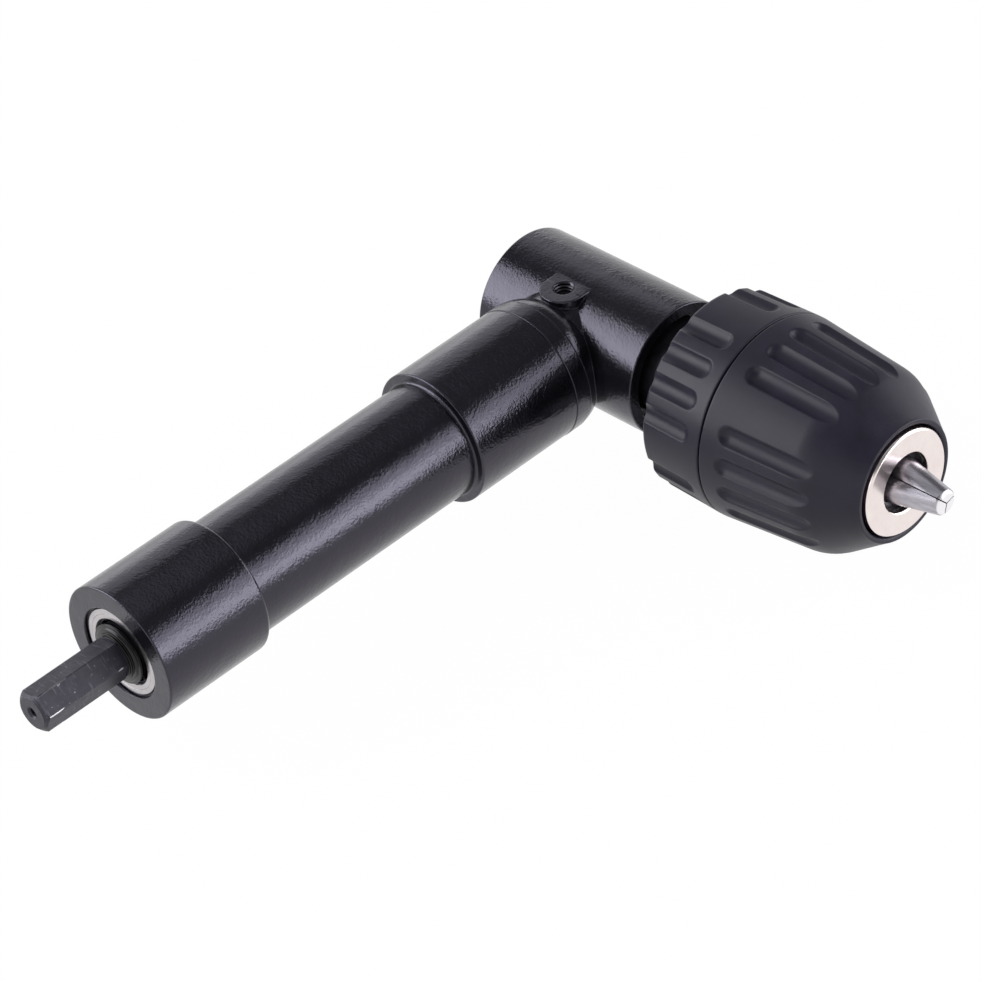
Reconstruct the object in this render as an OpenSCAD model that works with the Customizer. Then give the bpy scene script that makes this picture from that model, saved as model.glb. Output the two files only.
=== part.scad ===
// Right angle drill attachment with a keyless three jaw chuck.
// The input axis is X: the hex shank leaves along -X and the gear head lies at +X.
// The chuck points along -Y, and the lug with the tapped hole is on top, at +Z.
// The origin is the root of the hex shank, where the input axis meets the tail face.

/* [Hex shank and input shaft] */
// Across the flats of the hex shank
hex_flats = 8; // [6:0.1:8.4]
// Length of the shank from the tail face to its tip
shank_len = 21.5; // [15:0.5:40]
// Length of the turned chamfer on the tip of the shank
shank_chamfer = 0.9; // [0.3:0.1:1.5]
// Diameter of the centre hole in the tip
centre_d = 2; // [1:0.1:3]
// Turn of the hex about its axis, from +Y towards +Z
hex_turn = 14.5; // [0:0.5:60]
// Depth of the centre hole
centre_depth = 3.5; // [1:0.5:6]
// Diameter of the input shaft and of its bearings' bores
shaft_d = 10; // [9.8:0.1:10.4]
// Diameter of the shaft's collar in the tail
collar_d = 13.2; // [12.4:0.1:13.4]
// Width of the collar's cylindrical part
collar_w = 0.9; // [0.5:0.1:1.5]
// Length of the cone from the collar to the hex
collar_cone = 0.7; // [0.3:0.1:1.2]

/* [Housing tube] */
// Distance from the tail face to the output axis
axis_dist = 128.5; // [110:0.5:180]
// Wall of the neck's spigot round the pinion bearing; the tube is as thick as the spigot
neck_wall = 1.5; // [1.4:0.1:2]
// Wall of the main tube
tube_wall = 2; // [1.6:0.1:4]
// Wall of the tail sleeve round the tube
tail_wall = 2; // [1.5:0.1:3.5]
// Length of the tail sleeve
tail_len = 25.5; // [18:0.5:30]
// Depth in the tail sleeve at which the tube ends
tube_setback = 11; // [9:0.5:14]
// Wall of the head sleeve round the tube; the head tube is as thick as the sleeve
sleeve_wall = 2; // [1.6:0.1:2.4]
// Distance from the output axis back to the head sleeve's rear edge
sleeve_rear = 46.4; // [40:0.2:60]
// Distance from the output axis back to the head sleeve's front edge
sleeve_front = 20.1; // [19:0.1:22]
// Wall at the lip of the head sleeve's rear edge
lip_wall = 1.3; // [0.9:0.1:1.5]
// Length of that lip
lip_len = 0.8; // [0.4:0.1:2]
// Wall of the ring between the head sleeve and the neck
neck_ring_wall = 2.1; // [2:0.05:3]
// Distance from the output axis back to the front edge of that ring
neck_ring_front = 16.3; // [15.5:0.1:17.5]
// Rounding of the outer edges of the sleeves
edge_r = 0.6; // [0.2:0.1:1]

/* [Gear head] */
// Distance from the input axis to the head's rear end
head_rear = 19; // [18.6:0.2:26]
// Distance from the input axis to the head's front rim
head_front = 23.8; // [23:0.1:26]
// Height of the neck, where it meets the head tube, above its spigot
neck_step = 0.2; // [0.1:0.05:0.6]
// Length of the rounded shoulder of the neck
shoulder_len = 5; // [3:0.1:6]
// Length of the neck's spigot behind the neck ring
spigot_len = 9.7; // [8:0.1:14]
// Width of the lug, which is also the diameter of its round end
lug_w = 9.8; // [8:0.1:11]
// Distance from the output axis back to the lug's hole
lug_back = 7.2; // [6:0.1:8]
// Depth of the lug's face below the crown of the head tube
lug_drop = 0.6; // [0.2:0.1:1.1]
// Diameter of the lug's tapped hole, an M5 thread's minor diameter
lug_hole_d = 4.2; // [3:0.1:5]
// Chamfer at the mouth of the tapped hole
lug_chamfer = 0.35; // [0.1:0.05:0.8]
// Thickness of the closing wall of the rear cap
cap_wall = 1.2; // [0.8:0.1:2]
// Depth of the rear cap below the head's rear rim
cap_inset = 0.4; // [0.2:0.1:1]

/* [Bearings] */
// Height of the tail bearing between its bore and its outside
tail_brg_h = 4.5; // [4.2:0.05:4.8]
// Width of the tail bearing
tail_brg_w = 5; // [4.4:0.1:6]
// Depth of the tail bearing's face in the tail sleeve
tail_brg_inset = 0.5; // [0.2:0.1:1]
// Ball diameter of the tail bearing
tail_ball_d = 2.38; // [2:0.02:2.5]
// Thickness of the tail bearing's rings
tail_ring_t = 1.2; // [1:0.05:1.4]
// Number of balls in the tail bearing
tail_balls = 11; // [7:1:13]
// Width of the tail bearing's shields, which are pressed rings
shield_width = 1.28; // [1:0.02:1.4]
// Height of the pinion bearing between its bore and its outside
pinion_brg_h = 6; // [5.8:0.05:6.2]
// Width of the pinion bearing
pinion_brg_w = 6; // [5:0.1:6.2]
// Distance from the output axis back to the pinion bearing's front face
pinion_brg_front = 13; // [12.4:0.1:13.4]
// Ball diameter of the pinion bearing
pinion_ball_d = 3.175; // [2.8:0.025:3.3]
// Thickness of the pinion bearing's rings
pinion_ring_t = 1.6; // [1.4:0.05:1.8]
// Number of balls in the pinion bearing
pinion_balls = 9; // [6:1:11]
// Journal diameter of the front bearing on the output spindle
front_journal_d = 12; // [11:0.1:12.6]
// Width of the front bearing
front_brg_w = 6; // [5:0.1:6.2]
// Height of the front bearing between its bore and its outside
front_brg_h = 6; // [5.8:0.05:6.3]
// Ball diameter of the front bearing
front_ball_d = 3.175; // [2.8:0.025:3.3]
// Thickness of the front bearing's rings
front_ring_t = 1.6; // [1.4:0.05:1.8]
// Number of balls in the front bearing
front_balls = 10; // [7:1:12]
// Height of the rear bearing between its bore and its outside
rear_brg_h = 4.5; // [4.2:0.05:5]
// Width of the rear bearing
rear_brg_w = 5; // [4.4:0.1:5.4]
// Ball diameter of the rear bearing
rear_ball_d = 2.38; // [2:0.02:2.5]
// Thickness of the rear bearing's rings
rear_ring_t = 1.2; // [1:0.05:1.4]
// Number of balls in the rear bearing
rear_balls = 11; // [7:1:13]
// Thickness of the retaining rings
circlip_t = 1; // [0.6:0.1:1.2]

/* [Bevel gears] */
// Teeth on each of the two mitre gears
gear_teeth = 15; // [12:1:18]
// Pitch diameter of the mitre gears
pitch_d = 18.75; // [18:0.05:19]
// Face width of the teeth
gear_face = 4; // [3:0.1:4.4]
// Pressure angle of the teeth
pressure_angle = 20; // [18:0.5:22]
// Backlash between the teeth on the pitch circle
backlash = 0.14; // [0.1:0.01:0.3]
// Diameter of the gears' hubs
gear_hub_d = 13.4; // [12.6:0.1:14]

/* [Output spindle] */
// Diameter of the spindle between the rear bearing and the gear
spindle_d = 10; // [9.4:0.1:10.2]
// Diameter of the collar between the head and the chuck
spindle_collar_d = 20.4; // [16:0.1:21]
// Major diameter of the chuck's mounting thread, 3/8 inch
thread_d = 9.5; // [8:0.1:10]
// Length of the spindle's threaded nose
nose_thread_len = 14; // [10:0.5:15]

/* [Chuck] */
// Distance from the input axis to the chuck's rear rim
chuck_rear = 33.4; // [32:0.1:40]
// Depth of the rear sleeve's rim below the diameter at the split
rim_drop = 0.4; // [0.2:0.1:1]
// Rounding of the rear rim
rim_r = 0.9; // [0.3:0.1:1.1]
// Wall of the sleeves at the split, round the nut's steel jacket
front_wall = 4.98; // [4.4:0.01:6]
// Distance from the rear rim to the split
split_u = 15.5; // [15.2:0.1:16.4]
// Width of the dark gap at the split
split_gap = 0.3; // [0.2:0.05:0.5]
// Distance from the rear rim to the nose ring's face
nose_u = 50; // [49:0.2:54]
// Distance from the rear rim to the tips of the closed jaws
tip_u = 60; // [58:0.2:64]
// Distance from the rear rim to the end of the front sleeve's taper
taper_u = 36.8; // [34:0.2:39]
// Drop of the front sleeve's taper
taper_drop = 1.9; // [1:0.1:2.4]
// Radius of the round towards the nose
nose_round = 10.2; // [7:0.1:12]
// Width of the front sleeve's flat lip round the nose ring
lip_face = 1.2; // [0.8:0.1:2]
// Height of the nose ring above the body behind it
nose_ring_step = 0.3; // [0:0.05:0.5]
// Radial gap between the nose ring and the front sleeve
nose_gap = 0.5; // [0.3:0.05:0.8]
// Length of the nose ring
nose_ring_len = 4.5; // [3.6:0.1:5]
// Chamfer of the nose ring's outer edge
nose_chamfer = 0.7; // [0.3:0.05:1]
// Diameter of the hole in the nose
nose_hole_d = 12.6; // [12.4:0.1:13.4]
// Bore of the chuck body, for shanks up to 10 mm
chuck_bore = 11; // [10.4:0.1:11.4]
// Largest shank that the jaws grip
grip_max = 10; // [8:0.1:10]

/* [Sleeve flutes] */
// Places round each sleeve at which a flute can lie
flute_places = 20; // [15:5:25]
// Flute places in each group, the last of which stays a smooth land
flute_group = 5; // [4:1:6]
// Angle of a smooth land of the rear sleeve, from +X towards +Z
rear_land_angle = 90.5; // [0:0.5:120]
// Angle of a smooth land of the front sleeve, from +X towards +Z
front_land_angle = 135.5; // [0:0.5:140]
// Radius of the flutes' section
flute_r = 2.5; // [1.8:0.1:3]
// Depth of the flutes
flute_depth = 1.1; // [0.4:0.1:1.4]
// Distance from the rear rim to the round end of the rear flutes
rear_flute_u = 12.8; // [8:0.2:13.2]
// Distance from the split to the round rear end of the front flutes
front_flute_start = 3.5; // [3:0.1:6]

/* [Chuck inside] */
// Height of the chuck body's rear flange above its shoulder
flange_step = 1.6; // [1.4:0.1:2]
// Length of the flange
flange_len = 10; // [8:0.1:10.6]
// Depth of the body's rear face behind the rear rim
body_inset = 1.2; // [0.8:0.1:2]
// Depth below the nut's outside of the shoulder that carries the thrust race
shoulder_drop = 0.1; // [0:0.05:0.3]
// Distance from the rear rim to the thrust shoulder
thrust_u = 19; // [18.4:0.1:19.6]
// Thickness of the thrust race
race_t = 1; // [0.8:0.1:1.4]
// Ball diameter of the thrust bearing
thrust_ball_d = 2; // [1.6:0.1:2.2]
// Number of thrust balls
thrust_balls = 24; // [12:1:30]
// Length of the split nut
nut_len = 8; // [6:0.1:8.6]
// Wall of the split nut round the jaws at its rear
nut_wall = 3.6; // [3.3:0.1:3.8]
// Wall of the steel jacket round the nut
jacket_wall = 1.3; // [1:0.1:1.6]
// Diameter of the groove in the body that the nut runs in
groove_d = 17.6; // [17:0.1:18]
// Diameter of the body in front of the nut
front_body_d = 22; // [21:0.1:22.6]
// Diameter of the jaws' round section
jaw_d = 6.4; // [6:0.05:6.5]
// Length of the jaws
jaw_len = 34; // [32:0.5:36]
// Slope of the jaws against the chuck's axis, in degrees
jaw_tilt = 13.5; // [13:0.1:14]
// Radius of the closed jaws at their tips
jaw_tip_r = 2.5; // [2.3:0.05:2.6]
// Chamfer of the jaws' tips
jaw_chamfer = 0.6; // [0.3:0.05:0.8]
// Angle of the first jaw, from +X towards +Z
jaw_angle = 73; // [0:1:120]

/* [Fits] */
// Clearance of seats that are pressed together
seat_gap = 0.02; // [0.01:0.01:0.04]
// Radial clearance of running fits
run_gap = 0.05; // [0.02:0.01:0.1]
// Clearance on each side between the jaws
jaw_gap = 0.05; // [0.03:0.01:0.08]
// Wider clearance of turning pieces that aren't guided
free_gap = 0.3; // [0.2:0.05:0.4]
// Small chamfers on bearing rings and edges
break_edge = 0.3; // [0.1:0.05:0.4]

/* [Hidden] */
$fn = 96;

// Overrun of every cut
cut = 1;
// Facets of a ball, of a round corner and of the long nose round
ball_fn = 24;
corner_steps = 5;
round_steps = 14;
// Points on each flank of a gear tooth
flank_steps = 4;

// Shares of the ball: groove radius and cage
groove_share = 1.035;
cage_share = 1.35;
cage_thickness_share = 0.3;
pocket_share = 1.06;
// Shares of a gear: the tooth above and below the pitch circle in modules, the flare at its
// foot and the edge of the flat faces
addendum_share = 0.95;
dedendum_share = 1.2;
root_flare_share = 0.15;
face_ring_share = 0.97;

// Outer diameters of the bearings, and the diameters that follow from the walls round them
tail_brg_d = shaft_d + 2 * tail_brg_h;
pinion_brg_d = shaft_d + 2 * pinion_brg_h;
rear_brg_d = spindle_d + 2 * rear_brg_h;
head_bore = front_journal_d + 2 * front_brg_h;
tube_d = pinion_brg_d + 2 * neck_wall;
tube_bore = tube_d - 2 * tube_wall;
tail_d = tube_d + 2 * tail_wall;
sleeve_d = tube_d + 2 * sleeve_wall;
lip_d = tube_d + 2 * lip_wall;
neck_ring_d = tube_d + 2 * neck_ring_wall;
neck_d = tube_d + 2 * neck_step;
head_d = sleeve_d;
lug_top = head_d / 2 - lug_drop;

// Input side, measured from the tail face
sleeve_rear_x = axis_dist - sleeve_rear;
sleeve_front_x = axis_dist - sleeve_front;
neck_ring_x = axis_dist - neck_ring_front;
spigot_x = sleeve_front_x - spigot_len + (sleeve_front - neck_ring_front);
tail_brg_x = tail_brg_inset;
pinion_brg_x = axis_dist - pinion_brg_front - pinion_brg_w;

// Retaining rings: depth of their grooves, radius of their ears and the ears' spacing
circlip_lip = 0.6;
circlip_ear = 0.8;
ear_spacing_share = 2.2;

// Mitre gears: a pitch cone of 45 degrees with its apex where the axes cross
gear_module = pitch_d / gear_teeth;
pitch_cone = 45;
cone_dist = pitch_d / 2 / sin(pitch_cone);
small_end = (cone_dist - gear_face) / cone_dist;
virtual_r = pitch_d / 2 / cos(pitch_cone);
base_r = virtual_r * cos(pressure_angle);
root_r = virtual_r - dedendum_share * gear_module;
tip_r = virtual_r + addendum_share * gear_module;
back_apex = pitch_d / 2 / tan(pitch_cone) + pitch_d / 2 * tan(pitch_cone);
gear_back = back_apex - root_r * sin(pitch_cone);
gear_front = gear_back * small_end;
gear_tip_d = 2 * tip_r * cos(pitch_cone);
window_d = gear_tip_d + 2 * free_gap;

// Output side, measured from the input axis towards the chuck
front_brg_z = gear_back + gear_hub_len();
front_brg_end = front_brg_z + front_brg_w;
front_circlip_z = front_brg_end + seat_gap;
rear_brg_end = -head_rear + cap_inset + cap_wall;
rear_brg_z = rear_brg_end + rear_brg_w;
body_rear_z = chuck_rear + body_inset;
thread_depth = nose_thread_len + cut;

// Chuck, measured from its rear rim
nut_rear_u = thrust_u + race_t + thrust_ball_d + 2 * run_gap;
nut_front_u = nut_rear_u + nut_len;
groove_end_u = nut_front_u + free_gap;
ring_rear_u = nose_u - nose_ring_len;
ring_web = nose_ring_len / 3;
sleeve_end_u = nose_u - nose_chamfer;
jaw_rod_r = jaw_d / 2;
jaw_bore_r = jaw_rod_r + run_gap;
jaw_tip_axis = jaw_tip_r - jaw_rod_r / cos(jaw_tilt);
jaw_travel = grip_max / 2 / sin(jaw_tilt);

// Diameters of the chuck, from the jaws outwards
nut_d = 2 * (jaw_outer_r(nut_rear_u) + 2 * run_gap + nut_wall);
jacket_d = nut_d + 2 * seat_gap + 2 * jacket_wall;
shoulder_d = nut_d - 2 * shoulder_drop;
flange_d = shoulder_d + 2 * flange_step;
split_d = jacket_d + 2 * front_wall;
rim_d = split_d - 2 * rim_drop;
taper_d = split_d - 2 * taper_drop;
nose_ring_d = front_body_d + 2 * nose_ring_step;
spigot_d = nose_hole_d + (nose_ring_d - nose_hole_d) / 2;

function gear_hub_len() = pinion_brg_front - gear_back;
function arc(cx, cy, r, a0, a1, n) =
    [for (i = [0:n]) let (a = a0 + (a1 - a0) * i / n) [cx + r * cos(a), cy + r * sin(a)]];
// Radius of a jaw's axis at a distance from the rear rim
function jaw_axis_r(u) = jaw_tip_axis + (tip_u - u) * tan(jaw_tilt);
// Greatest radius that a jaw reaches there
function jaw_outer_r(u) = jaw_axis_r(u) + jaw_rod_r / cos(jaw_tilt);

// Turns a shape made along Z to the input axis, starting at a distance from the tail face
module along_input(x) {
    translate([x, 0, 0]) rotate([0, 90, 0]) children();
}

// Turns a shape made along Z to the output axis, starting at a distance from the input axis
module along_output(z) {
    translate([axis_dist, 0, 0]) rotate([90, 0, 0]) translate([0, 0, z]) children();
}

// A plain ring
module ring(d_out, d_in, h) {
    difference() {
        cylinder(d = d_out, h = h);
        translate([0, 0, -cut]) cylinder(d = d_in, h = h + 2 * cut);
    }
}

// A tube whose outer edges are rounded
module rounded_tube(d_out, d_in, h, r_low, r_high) {
    rotate_extrude()
        polygon(concat(
            [[d_in / 2, 0]],
            arc(d_out / 2 - r_low, r_low, r_low, -90, 0, corner_steps),
            arc(d_out / 2 - r_high, h - r_high, r_high, 0, 90, corner_steps),
            [[d_in / 2, h]]));
}

// Deep groove bearing parts, made along Z from 0 to the width
function ball_track_r(d_in, d_out) = (d_in + d_out) / 4;
module outer_race(d_in, d_out, w, ball_d, ring_t) {
    difference() {
        rotate_extrude() polygon([
            [d_out / 2 - ring_t, 0], [d_out / 2 - break_edge, 0], [d_out / 2, break_edge],
            [d_out / 2, w - break_edge], [d_out / 2 - break_edge, w],
            [d_out / 2 - ring_t, w]]);
        ball_groove(d_in, d_out, w, ball_d);
    }
}
module inner_race(d_in, d_out, w, ball_d, ring_t) {
    difference() {
        rotate_extrude() polygon([
            [d_in / 2, break_edge], [d_in / 2 + break_edge, 0],
            [d_in / 2 + ring_t, 0], [d_in / 2 + ring_t, w],
            [d_in / 2 + break_edge, w], [d_in / 2, w - break_edge]]);
        ball_groove(d_in, d_out, w, ball_d);
    }
}
module ball_groove(d_in, d_out, w, ball_d) {
    rotate_extrude() translate([ball_track_r(d_in, d_out), w / 2])
        circle(d = ball_d * groove_share, $fn = 2 * ball_fn);
}
module bearing_balls(d_in, d_out, w, ball_d, n) {
    for (i = [0:n - 1]) rotate([0, 0, 360 * i / n])
        translate([ball_track_r(d_in, d_out), 0, w / 2]) sphere(d = ball_d, $fn = ball_fn);
}
module ball_cage(d_in, d_out, w, ball_d, n) {
    track = ball_track_r(d_in, d_out);
    difference() {
        translate([0, 0, w / 2 - ball_d * cage_share / 2])
            ring(2 * track + ball_d * cage_thickness_share,
                2 * track - ball_d * cage_thickness_share, ball_d * cage_share);
        for (i = [0:n - 1]) rotate([0, 0, 360 * i / n])
            translate([track - ball_d / 2, 0, w / 2])
                rotate([0, 90, 0]) cylinder(d = ball_d * pocket_share, h = ball_d);
    }
}

// Retaining ring for a bore: a split ring with two eared ends
module bore_circlip(bore) {
    ear_r = bore / 2 - circlip_ear;
    ear_angle = asin(ear_spacing_share * circlip_ear / ear_r);
    difference() {
        union() {
            ring(bore + circlip_lip, bore - 2 * circlip_lip, circlip_t);
            for (s = [-1, 1]) rotate([0, 0, s * ear_angle])
                translate([ear_r, 0, 0]) cylinder(r = circlip_ear, h = circlip_t);
        }
        translate([0, -circlip_ear, -cut]) cube([bore, 2 * circlip_ear, circlip_t + 2 * cut]);
        for (s = [-1, 1]) rotate([0, 0, s * ear_angle])
            translate([ear_r, 0, -cut])
                cylinder(d = circlip_ear, h = circlip_t + 2 * cut, $fn = ball_fn);
    }
}

module tail_sleeve() {
    pocket_end = tail_brg_x + tail_brg_w + seat_gap;
    color("#17151a") along_input(0) difference() {
        rounded_tube(tail_d, tail_brg_d - 4 * break_edge, tail_len, break_edge, edge_r);
        translate([0, 0, -cut]) cylinder(d = tail_brg_d + 2 * seat_gap, h = pocket_end + cut);
        translate([0, 0, -cut]) cylinder(d1 = tail_brg_d + 2 * (tail_brg_inset + cut),
            d2 = tail_brg_d, h = tail_brg_inset + cut);
        translate([0, 0, tube_setback])
            cylinder(d = tube_d + 2 * seat_gap, h = tail_len);
    }
}

module main_tube() {
    color("#131115") along_input(tube_setback + seat_gap)
        ring(tube_d, tube_bore, spigot_x - tube_setback - 2 * seat_gap);
}

module head_sleeve() {
    h = sleeve_front_x - sleeve_rear_x - seat_gap;
    color("#17151a") along_input(sleeve_rear_x) rotate_extrude()
        polygon(concat(
            [[tube_d / 2 + seat_gap, lip_len], [lip_d / 2 - lip_len, lip_len],
             [lip_d / 2 - lip_len, 0]],
            arc(sleeve_d / 2 - edge_r, edge_r, edge_r, -90, 0, corner_steps),
            [[sleeve_d / 2, h - break_edge], [sleeve_d / 2 - break_edge, h],
             [tube_d / 2 + seat_gap, h]]));
}

module neck_ring() {
    h = neck_ring_x - sleeve_front_x - seat_gap;
    color("#17151a") along_input(sleeve_front_x)
        rounded_tube(neck_ring_d, tube_d + 2 * seat_gap, h, 2 * break_edge, 2 * break_edge);
}

// The neck's outside, from its spigot over the rounded shoulder into the head tube
module neck_solid() {
    along_input(spigot_x) cylinder(d = tube_d, h = neck_ring_x - spigot_x + cut);
    along_input(neck_ring_x) rotate_extrude()
        polygon(concat(
            [[0, 0], [neck_ring_d / 2 - break_edge, 0]],
            [for (i = [0:round_steps]) let (t = i / round_steps)
                [neck_d / 2 + (neck_ring_d / 2 - break_edge - neck_d / 2)
                    * (1 + cos(180 * t)) / 2, break_edge + shoulder_len * t]],
            [[neck_d / 2, neck_ring_front], [0, neck_ring_front]]));
}

module lug_body() {
    translate([axis_dist - lug_back, 0, 0]) cylinder(d = lug_w, h = lug_top);
    translate([axis_dist - lug_back, -lug_w / 2, 0]) cube([lug_back, lug_w, lug_top]);
}

module gear_head() {
    color("#17151a") difference() {
        union() {
            along_output(-head_rear)
                rounded_tube(head_d, head_bore / 2, head_rear + head_front, edge_r, edge_r);
            neck_solid();
            lug_body();
        }
        along_output(-head_rear - cut)
            cylinder(d = head_bore + 2 * seat_gap, h = head_rear + head_front + 2 * cut);
        along_output(front_circlip_z)
            cylinder(d = head_bore + 2 * circlip_lip, h = circlip_t + 2 * seat_gap);
        along_input(spigot_x - cut)
            cylinder(d = pinion_brg_d + 2 * seat_gap,
                h = pinion_brg_x + pinion_brg_w - spigot_x + cut);
        along_input(pinion_brg_x - circlip_t - 3 * seat_gap)
            cylinder(d = pinion_brg_d + 2 * circlip_lip, h = circlip_t + 2 * seat_gap);
        along_input(pinion_brg_x) cylinder(d = window_d, h = axis_dist - pinion_brg_x);
        translate([axis_dist - lug_back, 0, 0]) cylinder(d = lug_hole_d, h = lug_top + cut);
        translate([axis_dist - lug_back, 0, lug_top - lug_chamfer])
            cylinder(d1 = lug_hole_d, d2 = lug_hole_d + 2 * (lug_chamfer + cut),
                h = lug_chamfer + cut);
    }
}

module rear_cap() {
    depth = rear_brg_z + head_rear - cap_inset;
    color("#1b191e") along_output(-head_rear + cap_inset) difference() {
        rounded_tube(head_bore, 0, depth, break_edge, break_edge);
        translate([0, 0, cap_wall])
            cylinder(d = rear_brg_d + 2 * seat_gap, h = depth);
    }
}

module tail_bearing_outer_ring() {
    color("#c9c5c3") along_input(tail_brg_x)
        outer_race(shaft_d, tail_brg_d, tail_brg_w, tail_ball_d, tail_ring_t);
}

// The pressed steel shields on both sides of the tail bearing
module tail_bearing_shield() {
    d_out = tail_brg_d - 2 * tail_ring_t - 2 * seat_gap;
    hole_d = d_out - 2 * shield_width;
    color("#c9c5c3") along_input(tail_brg_x)
        for (z = [seat_gap, tail_brg_w - seat_gap - break_edge])
            translate([0, 0, z]) ring(d_out, hole_d, break_edge);
}

module tail_bearing_balls() {
    color("#b4b0b0") along_input(tail_brg_x)
        bearing_balls(shaft_d, tail_brg_d, tail_brg_w, tail_ball_d, tail_balls);
}

module tail_bearing_cage() {
    color("#8d8a8a") along_input(tail_brg_x)
        ball_cage(shaft_d, tail_brg_d, tail_brg_w, tail_ball_d, tail_balls);
}

module tail_bearing_inner_ring() {
    color("#c9c5c3") along_input(tail_brg_x)
        inner_race(shaft_d + 2 * seat_gap, tail_brg_d - 2 * seat_gap, tail_brg_w, tail_ball_d,
            tail_ring_t);
}

module pinion_bearing_outer_ring() {
    color("#c9c5c3") along_input(pinion_brg_x)
        outer_race(shaft_d, pinion_brg_d, pinion_brg_w - seat_gap, pinion_ball_d, pinion_ring_t);
}

module pinion_bearing_balls() {
    color("#b4b0b0") along_input(pinion_brg_x)
        bearing_balls(shaft_d, pinion_brg_d, pinion_brg_w - seat_gap, pinion_ball_d,
            pinion_balls);
}

module pinion_bearing_cage() {
    color("#8d8a8a") along_input(pinion_brg_x)
        ball_cage(shaft_d, pinion_brg_d, pinion_brg_w - seat_gap, pinion_ball_d,
            pinion_balls);
}

module pinion_bearing_inner_ring() {
    color("#c9c5c3") along_input(pinion_brg_x)
        inner_race(shaft_d + 2 * seat_gap, pinion_brg_d - 2 * seat_gap,
            pinion_brg_w - seat_gap, pinion_ball_d, pinion_ring_t);
}

module pinion_bearing_circlip() {
    color("#3a3a3e") along_input(pinion_brg_x - circlip_t - 2 * seat_gap)
        bore_circlip(pinion_brg_d);
}

// Retaining ring in the shaft's groove behind the pinion bearing
module shaft_circlip() {
    color("#3a3a3e") along_input(pinion_brg_x - circlip_t - seat_gap) difference() {
        ring(shaft_d + 4 * circlip_lip, shaft_d - circlip_lip, circlip_t);
        translate([0, -circlip_lip, -cut])
            cube([shaft_d, 2 * circlip_lip, circlip_t + 2 * cut]);
    }
}

module input_shaft() {
    hex_corner = hex_flats / cos(30);
    collar_start = tail_brg_x - seat_gap;
    cone_start = collar_start - collar_w;
    hex_start = cone_start - collar_cone;
    hex_len = hex_start + shank_len;
    tip_d = hex_flats - shank_chamfer;
    shaft_end = axis_dist - gear_front;
    color("#2c2b31") difference() {
        union() {
            along_input(-shank_len) rotate([0, 0, hex_turn]) intersection() {
                cylinder(d = hex_corner, h = hex_len, $fn = 6);
                cylinder(d1 = tip_d, h = hex_len,
                    d2 = tip_d + (hex_corner - tip_d) * hex_len / shank_chamfer);
            }
            along_input(hex_start)
                cylinder(d1 = hex_corner + break_edge, d2 = collar_d - break_edge,
                    h = collar_cone);
            along_input(cone_start) cylinder(d = collar_d, h = collar_w);
            along_input(cone_start) cylinder(d = shaft_d, h = shaft_end - cone_start);
        }
        along_input(-shank_len - cut) cylinder(d = centre_d, h = centre_depth + cut);
        along_input(pinion_brg_x - circlip_t - 2 * seat_gap)
            ring(shaft_d + cut, shaft_d - circlip_lip - 2 * seat_gap,
                circlip_t + 2 * seat_gap);
    }
}

// Involute function, and half the tooth's angle at a radius on the back cone,
// which widens a little below the base circle
function involute(a) = tan(a) - a * PI / 180;
function half_tooth(r) = let (
        a = r > base_r ? acos(base_r / r) : 0,
        foot = r > base_r ? 0 : (base_r - r) * root_flare_share)
    ((PI * gear_module / 4 - backlash / 4 + foot) / virtual_r
        + involute(pressure_angle) - involute(a)) * 180 / PI;
function flank_r(i) = root_r + (tip_r - root_r) * i / flank_steps;
// One ring of points round the gear: each has its place along the flank and its angle
rim = [for (t = [0:gear_teeth - 1], s = [-1, 1], i = [0:flank_steps])
    let (r = flank_r(s < 0 ? i : flank_steps - i))
    [r, 360 * t / gear_teeth + s * half_tooth(r) / cos(pitch_cone)]];
// The toothed ring on the back cone scaled towards the apex by k, and a round ring
function toothed_ring(k) = [for (p = rim) k * [p[0] * cos(pitch_cone) * cos(p[1]),
    p[0] * cos(pitch_cone) * sin(p[1]), back_apex - p[0] * sin(pitch_cone)]];
function round_ring(r, z) = [for (p = rim) [r * cos(p[1]), r * sin(p[1]), z]];

// A mitre gear with its apex at the origin and its back towards +Z
module mitre_gear(bore_d) {
    n = len(rim);
    inner_r = (bore_d / 2 + root_r * cos(pitch_cone) * small_end) / 2;
    face_r = root_r * cos(pitch_cone) * face_ring_share;
    rings = [toothed_ring(1), toothed_ring(small_end),
        round_ring(face_r * small_end, gear_front), round_ring(inner_r, gear_front),
        round_ring(inner_r, gear_back), round_ring(face_r, gear_back)];
    faces = [for (k = [0:5], i = [0:n - 1], half = [0, 1])
        let (a = k * n, b = (k + 1) % 6 * n, j = (i + 1) % n)
        half == 0 ? [a + i, a + j, b + i] : [a + j, b + j, b + i]];
    polyhedron([for (r = rings, p = r) p], faces);
    translate([0, 0, gear_front - break_edge])
        ring(inner_r + root_r * cos(pitch_cone) * small_end, bore_d + 2 * seat_gap,
            gear_back - gear_front + 2 * break_edge);
    translate([0, 0, gear_back - break_edge])
        ring(gear_hub_d, bore_d + 2 * seat_gap, gear_hub_len() + break_edge - seat_gap);
}

module bevel_pinion() {
    color("#77757a") translate([axis_dist, 0, 0]) rotate([90, 0, -90]) mitre_gear(shaft_d);
}

module bevel_gear() {
    color("#77757a") translate([axis_dist, 0, 0]) rotate([90, 0, 0])
        rotate([0, 0, 180 + 180 / gear_teeth]) mitre_gear(spindle_d);
}

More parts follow.
